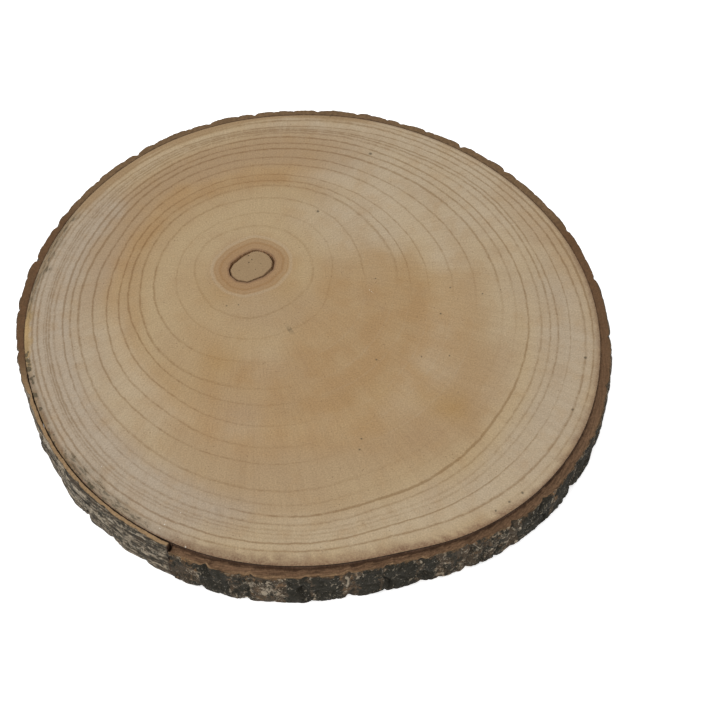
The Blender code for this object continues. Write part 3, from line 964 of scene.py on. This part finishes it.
def colour_marks(row, bearings, layer):
    """The zones, edges and mould of one row of the face, as values from 0 to 1."""
    marks = {name: [] for name in (*ZONES, *EDGES)}
    for k, bearing in enumerate(bearings):
        spot = turn(row["radius"][k], bearing, 0.0, PITH_MIDDLE)
        level = Vector((spot.x, spot.y, layer))
        wide = noise.fractal(level / WIDE_SWAY_LENGTH, 1.0, 2.0, 3)
        fine = noise.noise(level / FINE_SWAY_LENGTH)
        sway = {"gold": fine, "tan": wide, "stain": fine, "mould": fine, "streaked": fine + wide}
        trunk = degrees(atan2(spot.y, spot.x)) % 360.0
        for name, zones in ZONES.items():
            zone = zone_strength(zones, bearing, row["share"][k], wide)
            marks[name].append(with_patches(name, zone, spot, wide))
        for name, edges in EDGES.items():
            marks[name].append(edge_strength(edges, trunk, row["from_rim"][k], sway[name]))
    return marks


def shape_wood():
    """Points of the closed grid of the disc, its marks, and the number of rows in each part."""
    bearings = [360.0 * k / FACE_COLUMNS for k in range(FACE_COLUMNS)]
    rows = face_rows(bearings)
    points = []
    marks = {}

    def lay(row, height, inset, values):
        for k, bearing in enumerate(bearings):
            points.append(turn(row["radius"][k] - inset, bearing, height, PITH_MIDDLE) + SHIFT)
        for name, value in values.items():
            marks.setdefault(name, []).append(value)

    plain = ("ring", "spacing", "line", "tone", "from_rim", "from_pith", "around")
    lower, upper = (
        [{n: row[n] for n in plain} | colour_marks(row, bearings, layer) for row in rows]
        for layer in (LOWER_LAYER, UPPER_LAYER))
    last = len(rows) - 1
    for k, row in enumerate(rows):
        lay(row, 0.0, FACE_EASE if k == last else 0.0, lower[k])
    for share in (0.0, *SIDE_HEIGHTS, 1.0):
        height = FACE_EASE + (THICKNESS - 2.0 * FACE_EASE) * share
        lay(rows[-1], height, 0.0, upper[-1])
    for k in reversed(range(len(rows))):
        lay(rows[k], THICKNESS, FACE_EASE if k == last else 0.0, upper[k])
    for share in HOLE_HEIGHTS:
        lay(rows[0], THICKNESS * share, 0.0, upper[0])
    parts = (len(rows), len(SIDE_HEIGHTS) + 1, len(rows), len(HOLE_HEIGHTS) + 1)
    return np.array(points), {n: np.array(v) for n, v in marks.items()}, parts


def end_grain(name, look, upper):
    """Sawn end grain: rings, rays, fine pores, coloured zones, stains and specks."""
    material, wiring, shader = new_material(name)
    mark, times, span, cloud = wiring.mark, wiring.times, wiring.span, wiring.cloud
    place = wiring.place_mm(shift=(0.0 if upper else UNDERSIDE_SHIFT, 0.0, 0.0))
    soft = cloud(place, 16.0, 3.0, 0.55)
    rosy = cloud(wiring.place_mm(shift=(50.0, 0.0, 0.0)), 12.0, 3.0, 0.55)
    golden = cloud(wiring.place_mm(shift=(0.0, 80.0, 0.0)), 8.0, 3.0, 0.55)
    colour = wiring.layers(
        look.heart,
        (times(mark("warm"), span(soft, 0.3, 0.7, 0.68, 1.2)), look.warm),
        (times(mark("pale"), span(soft, 0.3, 0.7, 1.1, 0.7)), look.pale),
        (times(mark("pink"), 0.8), look.pink),
        (times(mark("grey"), 0.85), look.grey),
        (span(rosy, 0.46, 0.7, 0.0, 0.24), look.pink),
        (span(golden, 0.5, 0.7, 0.0, 0.2), look.warm))
    line = wiring.group(once("Slice Ring Lines", make_ring_lines), {
        "Ring": mark("ring"), "Spacing": mark("spacing"), "Strength": mark("line"),
        "Width": look.line_width / MM, "Place": place})["Line"]
    dark = wiring.math("MAXIMUM", line, 0.0)
    light = times(wiring.math("MINIMUM", line, 0.0), -0.5)
    tone = wiring.times_plus(mark("tone"), 0.06, 0.06)
    colour = wiring.mix(wiring.plus(dark, tone), colour, look.line, "MULTIPLY")
    from_pith = mark("from_pith")
    ring_at = wiring.times_plus(wiring.ragged(place, 9.0, 3.0), 1.6, from_pith)
    grain = span(cloud(place, 0.9, 3.0, 0.7), 0.35, 0.65, 0.55, 1.0)
    aged = wiring.math("MAXIMUM", mark("streaked"), mark("mould"))
    along_rim = wiring.join(mark("from_rim"), times(mark("around"), 0.1))
    streaks = flecks(wiring, along_rim, 0.9, times(mark("streaked"), 0.72))
    swollen = times(mark("mould"), span(cloud(place, 5.0, 2.0), 0.4, 0.6, 0.1, 0.62))
    blot_at = wiring.times_plus(cloud(place, 1.5, 4.0, 0.65), 0.6, wiring.cells(place, 3.2))
    blot = wiring.minus(wiring.plus(swollen, 0.28), blot_at)
    few = span(cloud(place, 9.0, 2.0), 0.5, 0.68)
    colour = wiring.layers(
        colour,
        (light, look.pale),
        (times(mark("orange"), 0.8), look.orange),
        (span(ring_at, 2.5, 12.5, 0.75, 0.0), look.halo),
        (wiring.band(ring_at, 4.3, 1.1, 0.55), look.amber),
        (wiring.band(ring_at, 6.9, 0.6, 0.4), look.amber),
        (wiring.band(ring_at, 8.4, 1.6, 0.35), look.pale),
        (span(from_pith, 0.1, 1.5, 0.7, 0.0), look.stain),
        (mark("tan"), look.tan),
        (times(mark("stain"), grain), look.stain),
        (times(mark("gold"), 0.8), look.gold),
        (times(aged, 0.26), look.mould),
        (times(streaks, span(mark("streaked"), 0.02, 0.4, 0.0, 0.62)), look.mould),
        (times(wiring.math("MULTIPLY", blot, 8.0, clamp=True), 0.8), look.mould),
        (span(cloud(ray_place(wiring), 1.0, 2.0, 0.6), 0.35, 0.7, 0.0, 0.1), look.pore),
        (times(span(wiring.cells(place, 2.1), 0.1, 0.2, 0.5, 0.0), few), look.pore))
    if upper:
        colour = wiring.layers(
            colour,
            (times(spots_mask(wiring, place, SPECKS_MM), 0.75), look.mould),
            (times(spots_mask(wiring, place, SAWDUST_MM), 0.7), look.dust))
    height = speckle(wiring, shader, colour, place, 0.75, look.grain)
    wiring.feed(shader["Roughness"], span(height, 0.2, 0.8, 0.82, 0.68))
    wiring.feed(shader["Normal"], wiring.bump(wiring.minus(height, times(dark, 0.5)), 0.12, 0.5))
    return material


def ray_place(wiring):
    """A place that changes fast round the pith and slowly outwards, for the wood's rays."""
    middle = (PITH_MIDDLE + SHIFT) / MM
    from_pith = wiring.vector("SUBTRACT", {0: wiring.place_mm(), 1: (middle.x, middle.y, 0.0)})
    flat = wiring.vector("MULTIPLY", {0: from_pith, 1: (1.0, 1.0, 0.0)})
    around = wiring.vector("SCALE", {0: wiring.vector("NORMALIZE", {0: flat}), "Scale": 70.0})
    slow = wiring.vector("SCALE", {0: flat, "Scale": 0.03})
    return wiring.vector("ADD", {0: around, 1: slow})


def stained_side(name, colour, dark_top):
    """The wood's stained side, with fibres along the trunk and a darker line below the face."""
    material, wiring, shader = new_material(name)
    fibres = wiring.cloud(wiring.place_mm(stretch=(1.0, 1.0, 0.12)), 0.8, 3.0, 0.6)
    height = wiring.node("ShaderNodeSeparateXYZ", {0: wiring.place_mm()}).outputs[2]
    below = wiring.times_plus(wiring.cloud(wiring.place_mm(), 3.0, 3.0), 1.6, height)
    top = THICKNESS / MM
    wiring.feed(shader["Base Color"], wiring.layers(
        colour,
        (wiring.span(fibres, 0.35, 0.75), shaded(colour, 1.7)),
        (wiring.span(below, top - 1.2, top + 0.1, 0.0, dark_top), shaded(colour, 0.25))))
    shader["Roughness"].default_value = 0.85
    wiring.feed(shader["Normal"], wiring.bump(fibres, 0.25, 0.7))
    return material


class SLICE_OT_sawn_wood(bpy.types.Operator):
    """Build the sawn disc with its growth rings"""

    bl_idname = "slice.sawn_wood"
    bl_label = "Sawn Wood"

    def execute(self, context):
        look = context.scene.slice_wood
        points, marks, parts = shape_wood()
        faces = grid_quads(sum(parts), FACE_COLUMNS, True, True)[:, ::-1]
        materials = (
            end_grain("sawn face", look, True),
            end_grain("sawn underside", look, False),
            stained_side("wood side", look.side, 0.85),
            stained_side("pith hole", look.hole, 0.0))
        piece = add_piece("wood_disc", points, faces.tolist(), materials, marks)
        slots = (1, 2, 0, 3)
        counts = [rows * FACE_COLUMNS for rows in parts]
        piece.data.polygons.foreach_set("material_index", np.repeat(slots, counts))
        below, _, above, _ = np.split(faces, np.cumsum(counts)[:-1])
        layout = (
            plan_layout(points, below),
            banded_layout(parts[1], FACE_COLUMNS, BANDS)[:, ::-1],
            plan_layout(points, above),
            banded_layout(parts[3], FACE_COLUMNS, 1)[:, ::-1])
        lay_bake_map(piece, np.concatenate(layout))
        piece.data.set_sharp_from_angle(angle=SHARP_SAWN)
        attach(piece, BODY)
        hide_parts("wood")
        return {"FINISHED"}


# The bark

def bark_place(arc, out, lengths, layer):
    """Where a point of the bark lies in a noise of the given lengths and layer."""
    return Vector((arc / lengths[0], out / lengths[1], layer))


def fine_relief(around, height, flake_height, crack_depth):
    """Flakes and short cracks on the plates, as a depth below the plate's skin."""
    broad = noise.noise(bark_place(around, height, *FLAKES))
    small = noise.noise(bark_place(around, height, *BITS))
    flakes = smooth_step(-0.06, 0.08, broad + 0.35 * small)
    bits = smooth_step(-0.1, 0.1, small - 0.12)
    layer = FINE_CRACK_LAYER + 0.3 * small
    distances, _ = noise.voronoi(bark_place(around, height, FINE_CRACK_LENGTHS, layer))
    crack = 1.0 - smooth_step(0.02, 0.16, distances[1] - distances[0])
    return flake_height * (0.75 * flakes + 0.4 * bits) + crack_depth * crack * (0.5 + 0.5 * flakes)


def top_profile(share, torn):
    """How far down the bark's top lies at a share of its thickness."""
    for (here, down), (after, after_down) in zip(TOP_EDGE, TOP_EDGE[1:]):
        if share <= after:
            return torn * (down + (after_down - down) * (share - here) / (after - here))
    return torn * TOP_EDGE[-1][1]


def bark_column(bearing, furrows, straight, look):
    """One section of the bark as points, with the marks to colour them by."""
    inner = rim_radius(bearing) + bark_gap(bearing)
    thick = bark_thickness(bearing)
    arc = radians(bearing) * inner
    rough = noise.noise(Vector((arc / LUMP_LENGTH, 0.0, TORN_LAYER)))
    torn = torn_depth(bearing) * (1.0 + TORN_UNEVEN * rough)
    near = [f for f in furrows if abs(f[0] - bearing) * inner * pi / 180.0 < FURROW_REACH]
    rows = []

    def lay(radius, height, shift, across, depth):
        rows.append((radius, bearing + shift, height, across, depth / MM))

    top_inside = THICKNESS - TOP_EDGE[0][1] * torn
    for k in range(INNER_WALL_ROWS):
        lay(inner, top_inside * k / INNER_WALL_ROWS, 0.0, 0.0, 0.0)
    edge_torn = OUTER_EDGE_TORN - PLATE_RISE * plate_rise(bearing)
    edge_torn *= 1.0 + EDGE_BREAK_SHARE * noise.noise(bark_place(arc, 0.0, *EDGE_BREAKS))
    edge = THICKNESS - edge_torn * torn - OUTER_EDGE_EASE
    at_edge = face_set_back(bearing, edge, edge, near, look)
    shift_edge = 0.0 if straight else wander(bearing, edge)
    last_share = TOP_EDGE[-1][0]
    flat = max(LEAST_TOP, min(thick - at_edge - LEAST_SLOPE, last_share * thick))
    for k in range(TOP_ROWS):
        t = k / TOP_ROWS
        share = t if t <= last_share else last_share
        height = THICKNESS - top_profile(share, torn)
        radius = inner + share / last_share * flat
        shift = 0.0
        if t > last_share:
            out = (t - last_share) / (1.0 - last_share)
            radius += out * (inner + thick - at_edge - radius)
            height += (edge - height) * out ** (SAWN_EDGE_POWER if torn < MM else 1.0)
            shift = shift_edge * out
        if 0 < k:
            spot = bark_place(arc, radius, *TOP_CRUMBS)
            crumbs = TOP_CRUMB_SHARE * torn * (TOP_CRUMB_MEAN + noise.noise(spot))
            height -= crumbs + TOP_GRAIN * (TOP_CRUMB_MEAN + noise.noise(2.0 * spot))
        lay(radius, height, shift, max(LEAST_ACROSS, t), 0.0)
    for k in range(FACE_ROWS):
        height = edge * (1.0 - k / FACE_ROWS)
        set_back = face_set_back(bearing, height, edge, near, look)
        shift = 0.0 if straight else wander(bearing, height)
        lay(inner + thick - set_back, height, shift, 1.0, set_back)
    foot = inner + thick - face_set_back(bearing, 0.0, edge, near, look)
    foot_shift = 0.0 if straight else wander(bearing, 0.0)
    for k in range(FOOT_ROWS):
        t = k / FOOT_ROWS
        lay(foot + (inner - foot) * t, 0.0, foot_shift * (1.0 - t), 1.0 - t, 0.0)
    return rows, torn


def face_set_back(bearing, height, edge, furrows, look):
    arc = radians(bearing) * rim_radius(bearing)
    fine = fine_relief(arc, height, look.flake_height, look.crack_depth)
    thin = 1.0 - STRIP_LOSS * looseness(bearing) ** STRIP_LOSS_POWER
    thin *= smooth_step(*FOOT_FADE, height)
    thin *= 1.0 - EDGE_LOSS * exp(-((edge - height) / EDGE_CRUMBLE_REACH) ** 2)
    knob = 0.0
    for place, out in STRIP_KNOBS if thinness(bearing) > 0.0 else ():
        away = radians(bearing % 360.0 - place) * rim_radius(bearing)
        knob += out * MM * exp(-(away / KNOB_HALF_WIDTH) ** 2)
    knob *= thinness(bearing) * (1.0 - KNOB_TAPER * height / THICKNESS)
    fine = thin * (fine - FINE_MEAN * look.flake_height)
    return relief(bearing, height, edge, furrows) + fine - knob


def plate_blackness(bearing, arc, height):
    """How black the weathered face is, plate by plate, with uneven borders."""
    if not BLACK_PLATES[0][0] < bearing % 360.0 < BLACK_PLATES[-1][1]:
        uneven = noise.noise(bark_place(arc, height, *HIDDEN_PLATES))
        return max(0.0, HIDDEN_BLACK_MEAN + HIDDEN_BLACK_SWING * uneven)
    at = bearing + PLATE_SWAY * noise.noise(bark_place(arc, height, *PLATE_BORDERS))
    return max(
        strength * round_window(first + PLATE_INSET, last - PLATE_INSET, PLATE_FADE, at)
        for first, last, strength in BLACK_PLATES)


def shape_bark(look):
    """Points of the bark's grid column by column, with the marks to colour by."""
    furrows = plan_furrows()
    start = SPLIT + 0.5 * SPLIT_WIDTH
    end = SPLIT + 360.0 - 0.5 * SPLIT_WIDTH
    points = []
    values = []
    for k in range(BARK_COLUMNS):
        bearing = start + (end - start) * k / (BARK_COLUMNS - 1)
        straight = k in (0, BARK_COLUMNS - 1)
        rows, torn = bark_column(bearing, furrows, straight, look)
        torn = min(1.0, torn / FULLY_TORN)
        strip = min(1.0, STRIP_COLOUR_RISE * looseness(bearing))
        dark = round_window(*DARK_SIDE, bearing)
        tan = round_window(*TAN_LEDGE, bearing)
        red = max(round_window(*part, bearing) for part in RED_TOP)
        for radius, at, height, across, depth in rows:
            points.append(turn(radius, at, height) + SHIFT)
            arc = radians(at) * radius
            black = plate_blackness(at, arc, height)
            low = 1.0 - height / THICKNESS
            values.append((across, depth, torn, strip, dark, low, tan, red, black, arc / MM,
                           float(straight)))
    return np.array(points), dict(zip(BARK_MARKS, np.array(values).T))


def weathered_bark(name, look):
    """The bark's outer face: black plates, grey-tan crust, upright cracks and pale flecks, with
    painted shade in the deep furrows and at the split's ends.
    """
    material, wiring, shader = new_material(name)
    shader["Specular IOR Level"].default_value = 0.1
    mark, times, span, cloud = wiring.mark, wiring.times, wiring.span, wiring.cloud
    place = wiring.place_mm(stretch=(1.0, 1.0, 0.75))
    strip = mark("strip")
    low = mark("low")
    wide = cloud(place, 7.0, 3.0, 0.6)
    crust = flecks(wiring, place, 2.3, span(wide, 0.35, 0.65, 0.42, 0.72))
    rusty = span(cloud(place, 5.0, 4.0, 0.65, 0.4), 0.5, 0.64)
    blackness = times(mark("black"), 0.85)
    black = wiring.times_plus(wiring.ragged(place, 3.2, 6.0, 0.76), 2.8, blackness)
    beside = wiring.place_mm(stretch=(1.0, 1.0, 0.8), shift=(31.0, 7.0, 0.0))
    sparse = flecks(wiring, beside, 1.7, span(wide, 0.35, 0.7, 0.34, 0.58))
    upright = wiring.place_mm(stretch=(1.0, 1.0, 0.3), shift=(11.0, 5.0, 0.0))
    cracks = flecks(wiring, upright, 2.4, 0.56)
    bright = flecks(wiring, wiring.place_mm(shift=(3.0, 41.0, 9.0)), 1.4, 0.34)
    frayed = wiring.times_plus(wiring.ragged(place, 3.0, 4.0, 0.7), 0.4, low)
    fringe = times(span(frayed, 0.07, 0.15, 0.42, 0.0), mark("torn"))
    along = wiring.join(times(mark("around"), 0.36), times(low, 24.0))
    patch = cloud(along, 4.0, 4.0, 0.66)
    strip_colour = wiring.layers(
        look.mid,
        (span(patch, 0.42, 0.56, 0.0, 0.85), look.light),
        (span(patch, 0.58, 0.7, 0.0, 0.55), look.pale),
        (times(flecks(wiring, along, 1.9, 0.62), 0.8), look.dark),
        (span(cloud(place, 3.6, 5.0, 0.72), 0.42, 0.52, 0.8, 0.0), look.dark))
    known = wiring.math("MAXIMUM", mark("dark"), strip)
    aged = times(wiring.minus(0.35, times(known, 0.35)), span(wide, 0.35, 0.65, 0.25, 1.2))
    colour = wiring.layers(
        look.mid,
        (times(crust, 0.85), look.light),
        (times(rusty, span(low, 0.1, 0.5, 0.75, 0.25)), look.rust),
        (span(black, 0.26, 0.56), wiring.mix(times(sparse, 0.55), look.dark, look.light)),
        (times(cracks, 0.85), look.dark),
        # Painted shade: the face darkens where the furrows cut deepest
        (times(span(mark("depth"), 1.7, 2.8), 0.7), look.dark),
        (times(bright, 0.65), look.pale),
        (fringe, wiring.mix(crust, look.rust, look.torn)),
        (strip, strip_colour),
        (aged, shaded(look.light, 0.78)),
        # Painted shade: the outer face darkens at the split's ends
        (times(mark("end"), 0.8), look.inner))
    height = speckle(wiring, shader, colour, place, 0.7, 1.6)
    shader["Roughness"].default_value = 0.92
    wiring.feed(shader["Normal"], wiring.bump(wiring.plus(height, times(crust, 0.5)), 0.5, 0.8))
    return material


def cut_bark(name, look):
    """The bark's top and inside: sawn flush where it held, fibrous where it tore; painted shade
    darkens its inside, its edge beside the wood and the ends at the split.
    """
    material, wiring, shader = new_material(name)
    mark, times, span, cloud = wiring.mark, wiring.times, wiring.span, wiring.cloud
    place = wiring.place_mm()
    across = mark("across")
    fibrous = wiring.join(times(mark("around"), 0.16), times(across, 5.0))
    at = wiring.times_plus(wiring.ragged(place, 3.0, 4.0, 0.7), 0.55, across)
    aged = shaded(look.cut, 0.5)
    sawn = wiring.layers(
        look.cut,
        (mark("red"), look.red),
        (span(cloud(place, 1.6, 4.0, 0.7), 0.42, 0.64, 0.0, 0.55), aged),
        (span(at, 0.6, 0.95, 0.0, 0.6), aged),
        # Partly painted shade: a dark line along the sawn top's inner edge and on the inside, beside
        # the wood
        (span(at, 0.02, 0.16, 0.45, 0.0), look.inner))
    broken = span(cloud(fibrous, 1.6, 3.0, 0.6), 0.4, 0.58)
    tan_at = times(span(at, 0.3, 0.75), broken)
    ledge = wiring.layers(
        shaded(look.ledge, 0.85),
        (mark("tan"), look.ledge),
        (span(cloud(fibrous, 0.9, 4.0, 0.65), 0.4, 0.62), shaded(look.ledge, 0.5)),
        (times(tan_at, wiring.times_plus(mark("tan"), 0.6, 0.12)), look.torn),
        # Partly painted shade: the ledge darkens at its inner edge, in the groove beside the wood's
        # side
        (span(at, 0.03, 0.14, 0.55, 0.0), look.inner))
    strip_top = wiring.layers(
        shaded(look.torn, 0.92),
        (span(at, 0.6, 0.95), look.mid),
        # Painted shade: the strip's top darkens at its inner edge, beside the open crack
        (span(at, 0.0, 0.16, 0.8, 0.0), look.inner))
    colour = wiring.layers(
        sawn,
        (mark("torn"), ledge),
        (times(mark("strip"), 0.95), strip_top),
        # Painted shade: the columns at the split's ends are darkened
        (times(mark("end"), 0.85), look.inner))
    height = speckle(wiring, shader, colour, place, 0.8, 1.3)
    shader["Roughness"].default_value = 0.9
    shader["Specular IOR Level"].default_value = 0.12
    wiring.feed(shader["Normal"], wiring.bump(height, 0.35, 0.7))
    return material


class SLICE_OT_bark(bpy.types.Operator):
    """Build the bark with its furrows, torn ledge and loose strip"""

    bl_idname = "slice.bark"
    bl_label = "Bark"

    def execute(self, context):
        look = context.scene.slice_bark
        points, marks = shape_bark(look)
        section = INNER_WALL_ROWS + TOP_ROWS + FACE_ROWS + FOOT_ROWS
        faces = grid_quads(BARK_COLUMNS, section, False, True)[:, ::-1].tolist()
        faces.append(list(range(section)))
        last = (BARK_COLUMNS - 1) * section
        faces.append(list(range(last + section - 1, last - 1, -1)))
        materials = (weathered_bark("weathered bark", look), cut_bark("cut bark", look))
        piece = add_piece("bark_ring", points, faces, materials, marks)
        cut = np.ones(section, dtype=int)
        outer_from = INNER_WALL_ROWS + TOP_ROWS - 2
        cut[outer_from:outer_from + FACE_ROWS + 2] = 0
        slots = np.concatenate((np.tile(cut, BARK_COLUMNS - 1), (1, 1)))
        piece.data.polygons.foreach_set("material_index", slots)
        lay_bake_map(piece, bark_layout(section, outer_from))
        piece.data.set_sharp_from_angle(angle=SHARP_BARK)
        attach(piece, BODY)
        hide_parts("bark")
        return {"FINISHED"}


def bark_layout(section, outer_from):
    """The bake layout: the outer face and the rest each fill a square of their own."""
    row = np.arange(section)[None, :, None]
    outer_rows = FACE_ROWS + 2
    step = row + np.array([1, 1, 0, 0])
    up_rest = np.where(row < outer_from, step, step - outer_rows) / (section - outer_rows)
    outer = (row >= outer_from) & (row < outer_from + outer_rows)
    up = np.where(outer, (step - outer_from) / outer_rows, up_rest)
    column = np.arange(BARK_COLUMNS - 1)[:, None, None]
    quads = stack_bands(column, up, BARK_COLUMNS - 1, BANDS).reshape(-1, 2)
    cap = np.column_stack((np.linspace(0.0, 1.0, section), np.full(section, 0.001)))
    return np.concatenate((quads, cap, cap))


# The pith

def shape_pith():
    """Rings of points from the middle of the underside round to the middle of the top."""
    steps = [360.0 * k / PITH_COLUMNS for k in range(PITH_COLUMNS)]
    rings = [(0.0, 1.0, share) for share in reversed(PITH_TOP_SHARES)]
    rings += [(0.0, 1.0, 1.0), *((depth, opened, 1.0) for depth, opened in SEAM_OPEN)]
    rings += [(0.5 * THICKNESS, 0.0, 1.0)]
    rings += [(THICKNESS - depth, opened, 1.0) for depth, opened in reversed(SEAM_OPEN)]
    rings += [(THICKNESS - PITH_EASE, 1.0, 1.0)]
    rings += [(THICKNESS, 1.0, share) for share in PITH_TOP_SHARES]
    points = []
    inward = []
    for height, opened, share in rings:
        for b in steps:
            tight = hole_radius(b) - FIT_GAP
            full = tight + opened * (eased_round(PLUG_CORNERS, b) - tight)
            ragged = PITH_RAGGED * opened * noise.noise(turn(9.0, b, height / MM))
            points.append(turn(share * (full + ragged), b, height, PITH_MIDDLE) + SHIFT)
            inward.append((1.0 - share) * full / MM)
    middle = PITH_MIDDLE + SHIFT
    points += [Vector((middle.x, middle.y, 0.0)), Vector((middle.x, middle.y, THICKNESS))]
    inward += [PITH_MIDDLE_MARK] * 2
    return np.array(points), np.array(inward), len(rings)


def soft_pith(name, look):
    """Dry crumbly pith, browned at its edge, with a few dark specks."""
    material, wiring, shader = new_material(name)
    place = wiring.place_mm()
    inward = wiring.plus(wiring.mark("inward"), wiring.cloud(place, 2.0, 3.0))
    patch = wiring.cloud(place, 5.0, 3.0, 0.6)
    colour = wiring.layers(
        look.body,
        (wiring.span(inward, 0.5, 1.3, 0.6, 0.0), look.edge),
        (wiring.span(patch, 0.35, 0.7, 0.0, 0.12), look.edge),
        (wiring.times(spots_mask(wiring, place, PITH_SPECKS_MM), 0.85), PITH_SPECK_COLOUR))
    height = speckle(wiring, shader, colour, place, 0.7, 0.7)
    shader["Roughness"].default_value = 0.9
    wiring.feed(shader["Normal"], wiring.bump(height, 0.2, 0.7))
    return material


class SLICE_OT_pith(bpy.types.Operator):
    """Build the pith, shrunk away from its hole"""

    bl_idname = "slice.pith"
    bl_label = "Pith"

    def execute(self, context):
        look = context.scene.slice_pith
        points, inward, rings = shape_pith()
        faces = grid_quads(rings, PITH_COLUMNS, False, True).tolist()
        lower = rings * PITH_COLUMNS
        top_ring = (rings - 1) * PITH_COLUMNS
        for k in range(PITH_COLUMNS):
            after = (k + 1) % PITH_COLUMNS
            faces.append([after, k, lower])
            faces.append([top_ring + k, top_ring + after, lower + 1])
        material = soft_pith("dry pith", look)
        piece = add_piece("pith_plug", points, faces, (material,), {"inward": inward})
        piece.data.set_sharp_from_angle(angle=SHARP_SAWN)
        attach(piece, BODY)
        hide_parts("pith")
        return {"FINISHED"}


# The stage

class SLICE_OT_stage(bpy.types.Operator):
    """Lay the plain floor and set the soft light and the camera"""

    bl_idname = "slice.stage"
    bl_label = "Stage"

    def execute(self, context):
        look = context.scene.slice_stage
        scene = context.scene
        self.lay_floor(look.floor)
        self.light_studio(scene, look)
        data = bpy.data.cameras.new("camera")
        data.lens = CAMERA_LENS
        camera = add_object("camera", data)
        camera.location = Vector(CAMERA_PLACE) + SHIFT
        camera.rotation_euler = (radians(90.0 - CAMERA_DIP), 0.0, radians(-CAMERA_TURN))
        scene.camera = camera
        scene.view_settings.view_transform = "Standard"
        return {"FINISHED"}

    def lay_floor(self, colour):
        signs = ((-1, -1), (1, -1), (1, 1), (-1, 1))
        corners = [(x * FLOOR_HALF_WIDTH, y * FLOOR_HALF_WIDTH, FLOOR_HEIGHT) for x, y in signs]
        mesh = bpy.data.meshes.new("floor")
        mesh.from_pydata(corners, [], [(0, 1, 2, 3)])
        material, _, shader = new_material("studio floor")
        shader["Base Color"].default_value = (*colour, 1.0)
        shader["Roughness"].default_value = 0.95
        shader["Emission Color"].default_value = WHITE
        shader["Emission Strength"].default_value = FLOOR_GLOW
        mesh.materials.append(material)
        floor = add_object("floor", mesh)

    def light_studio(self, scene, look):
        world = bpy.data.worlds.new("studio")
        world.use_nodes = True
        sky = world.node_tree.nodes["Background"].inputs
        sky["Color"].default_value = WHITE
        sky["Strength"].default_value = look.sky
        scene.world = world
        data = bpy.data.lights.new("soft lamp", "AREA")
        data.shape = "DISK"
        data.size = LAMP_SIZE
        data.energy = look.lamp
        lamp = add_object("soft lamp", data)
        lamp.location = LAMP_PLACE
        lamp.rotation_euler = Vector(lamp.location).to_track_quat("Z", "Y").to_euler()


class SLICE_PT_parts(bpy.types.Panel):
    """The slice's settings and the buttons that build its pieces"""

    bl_idname = "SLICE_PT_parts"
    bl_label = "Wood Slice"
    bl_space_type = "VIEW_3D"
    bl_region_type = "UI"
    bl_category = "Slice"

    def draw(self, context):
        for settings, operator in PANEL_ROWS:
            box = self.layout.box()
            group = getattr(context.scene, settings)
            for name in group.__annotations__:
                box.prop(group, name)
            box.operator(operator)


PANEL_ROWS = (
    ("slice_wood", "slice.sawn_wood"),
    ("slice_bark", "slice.bark"),
    ("slice_pith", "slice.pith"),
    ("slice_stage", "slice.stage"),
)
SETTINGS = {
    "slice_wood": SliceWoodSettings,
    "slice_bark": SliceBarkSettings,
    "slice_pith": SlicePithSettings,
    "slice_stage": SliceStageSettings,
}
CLASSES = (
    *SETTINGS.values(),
    SLICE_OT_sawn_wood,
    SLICE_OT_bark,
    SLICE_OT_pith,
    SLICE_OT_stage,
    SLICE_PT_parts,
)


def register():
    for cls in CLASSES:
        bpy.utils.register_class(cls)
    for name, group in SETTINGS.items():
        setattr(bpy.types.Scene, name, bpy.props.PointerProperty(type=group))


def unregister():
    for name in SETTINGS:
        delattr(bpy.types.Scene, name)
    for cls in reversed(CLASSES):
        bpy.utils.unregister_class(cls)


def main():
    register()
    bpy.ops.slice.stage()
    bpy.ops.slice.sawn_wood()
    bpy.ops.slice.bark()
    bpy.ops.slice.pith()


if __name__ == "__main__":
    main()
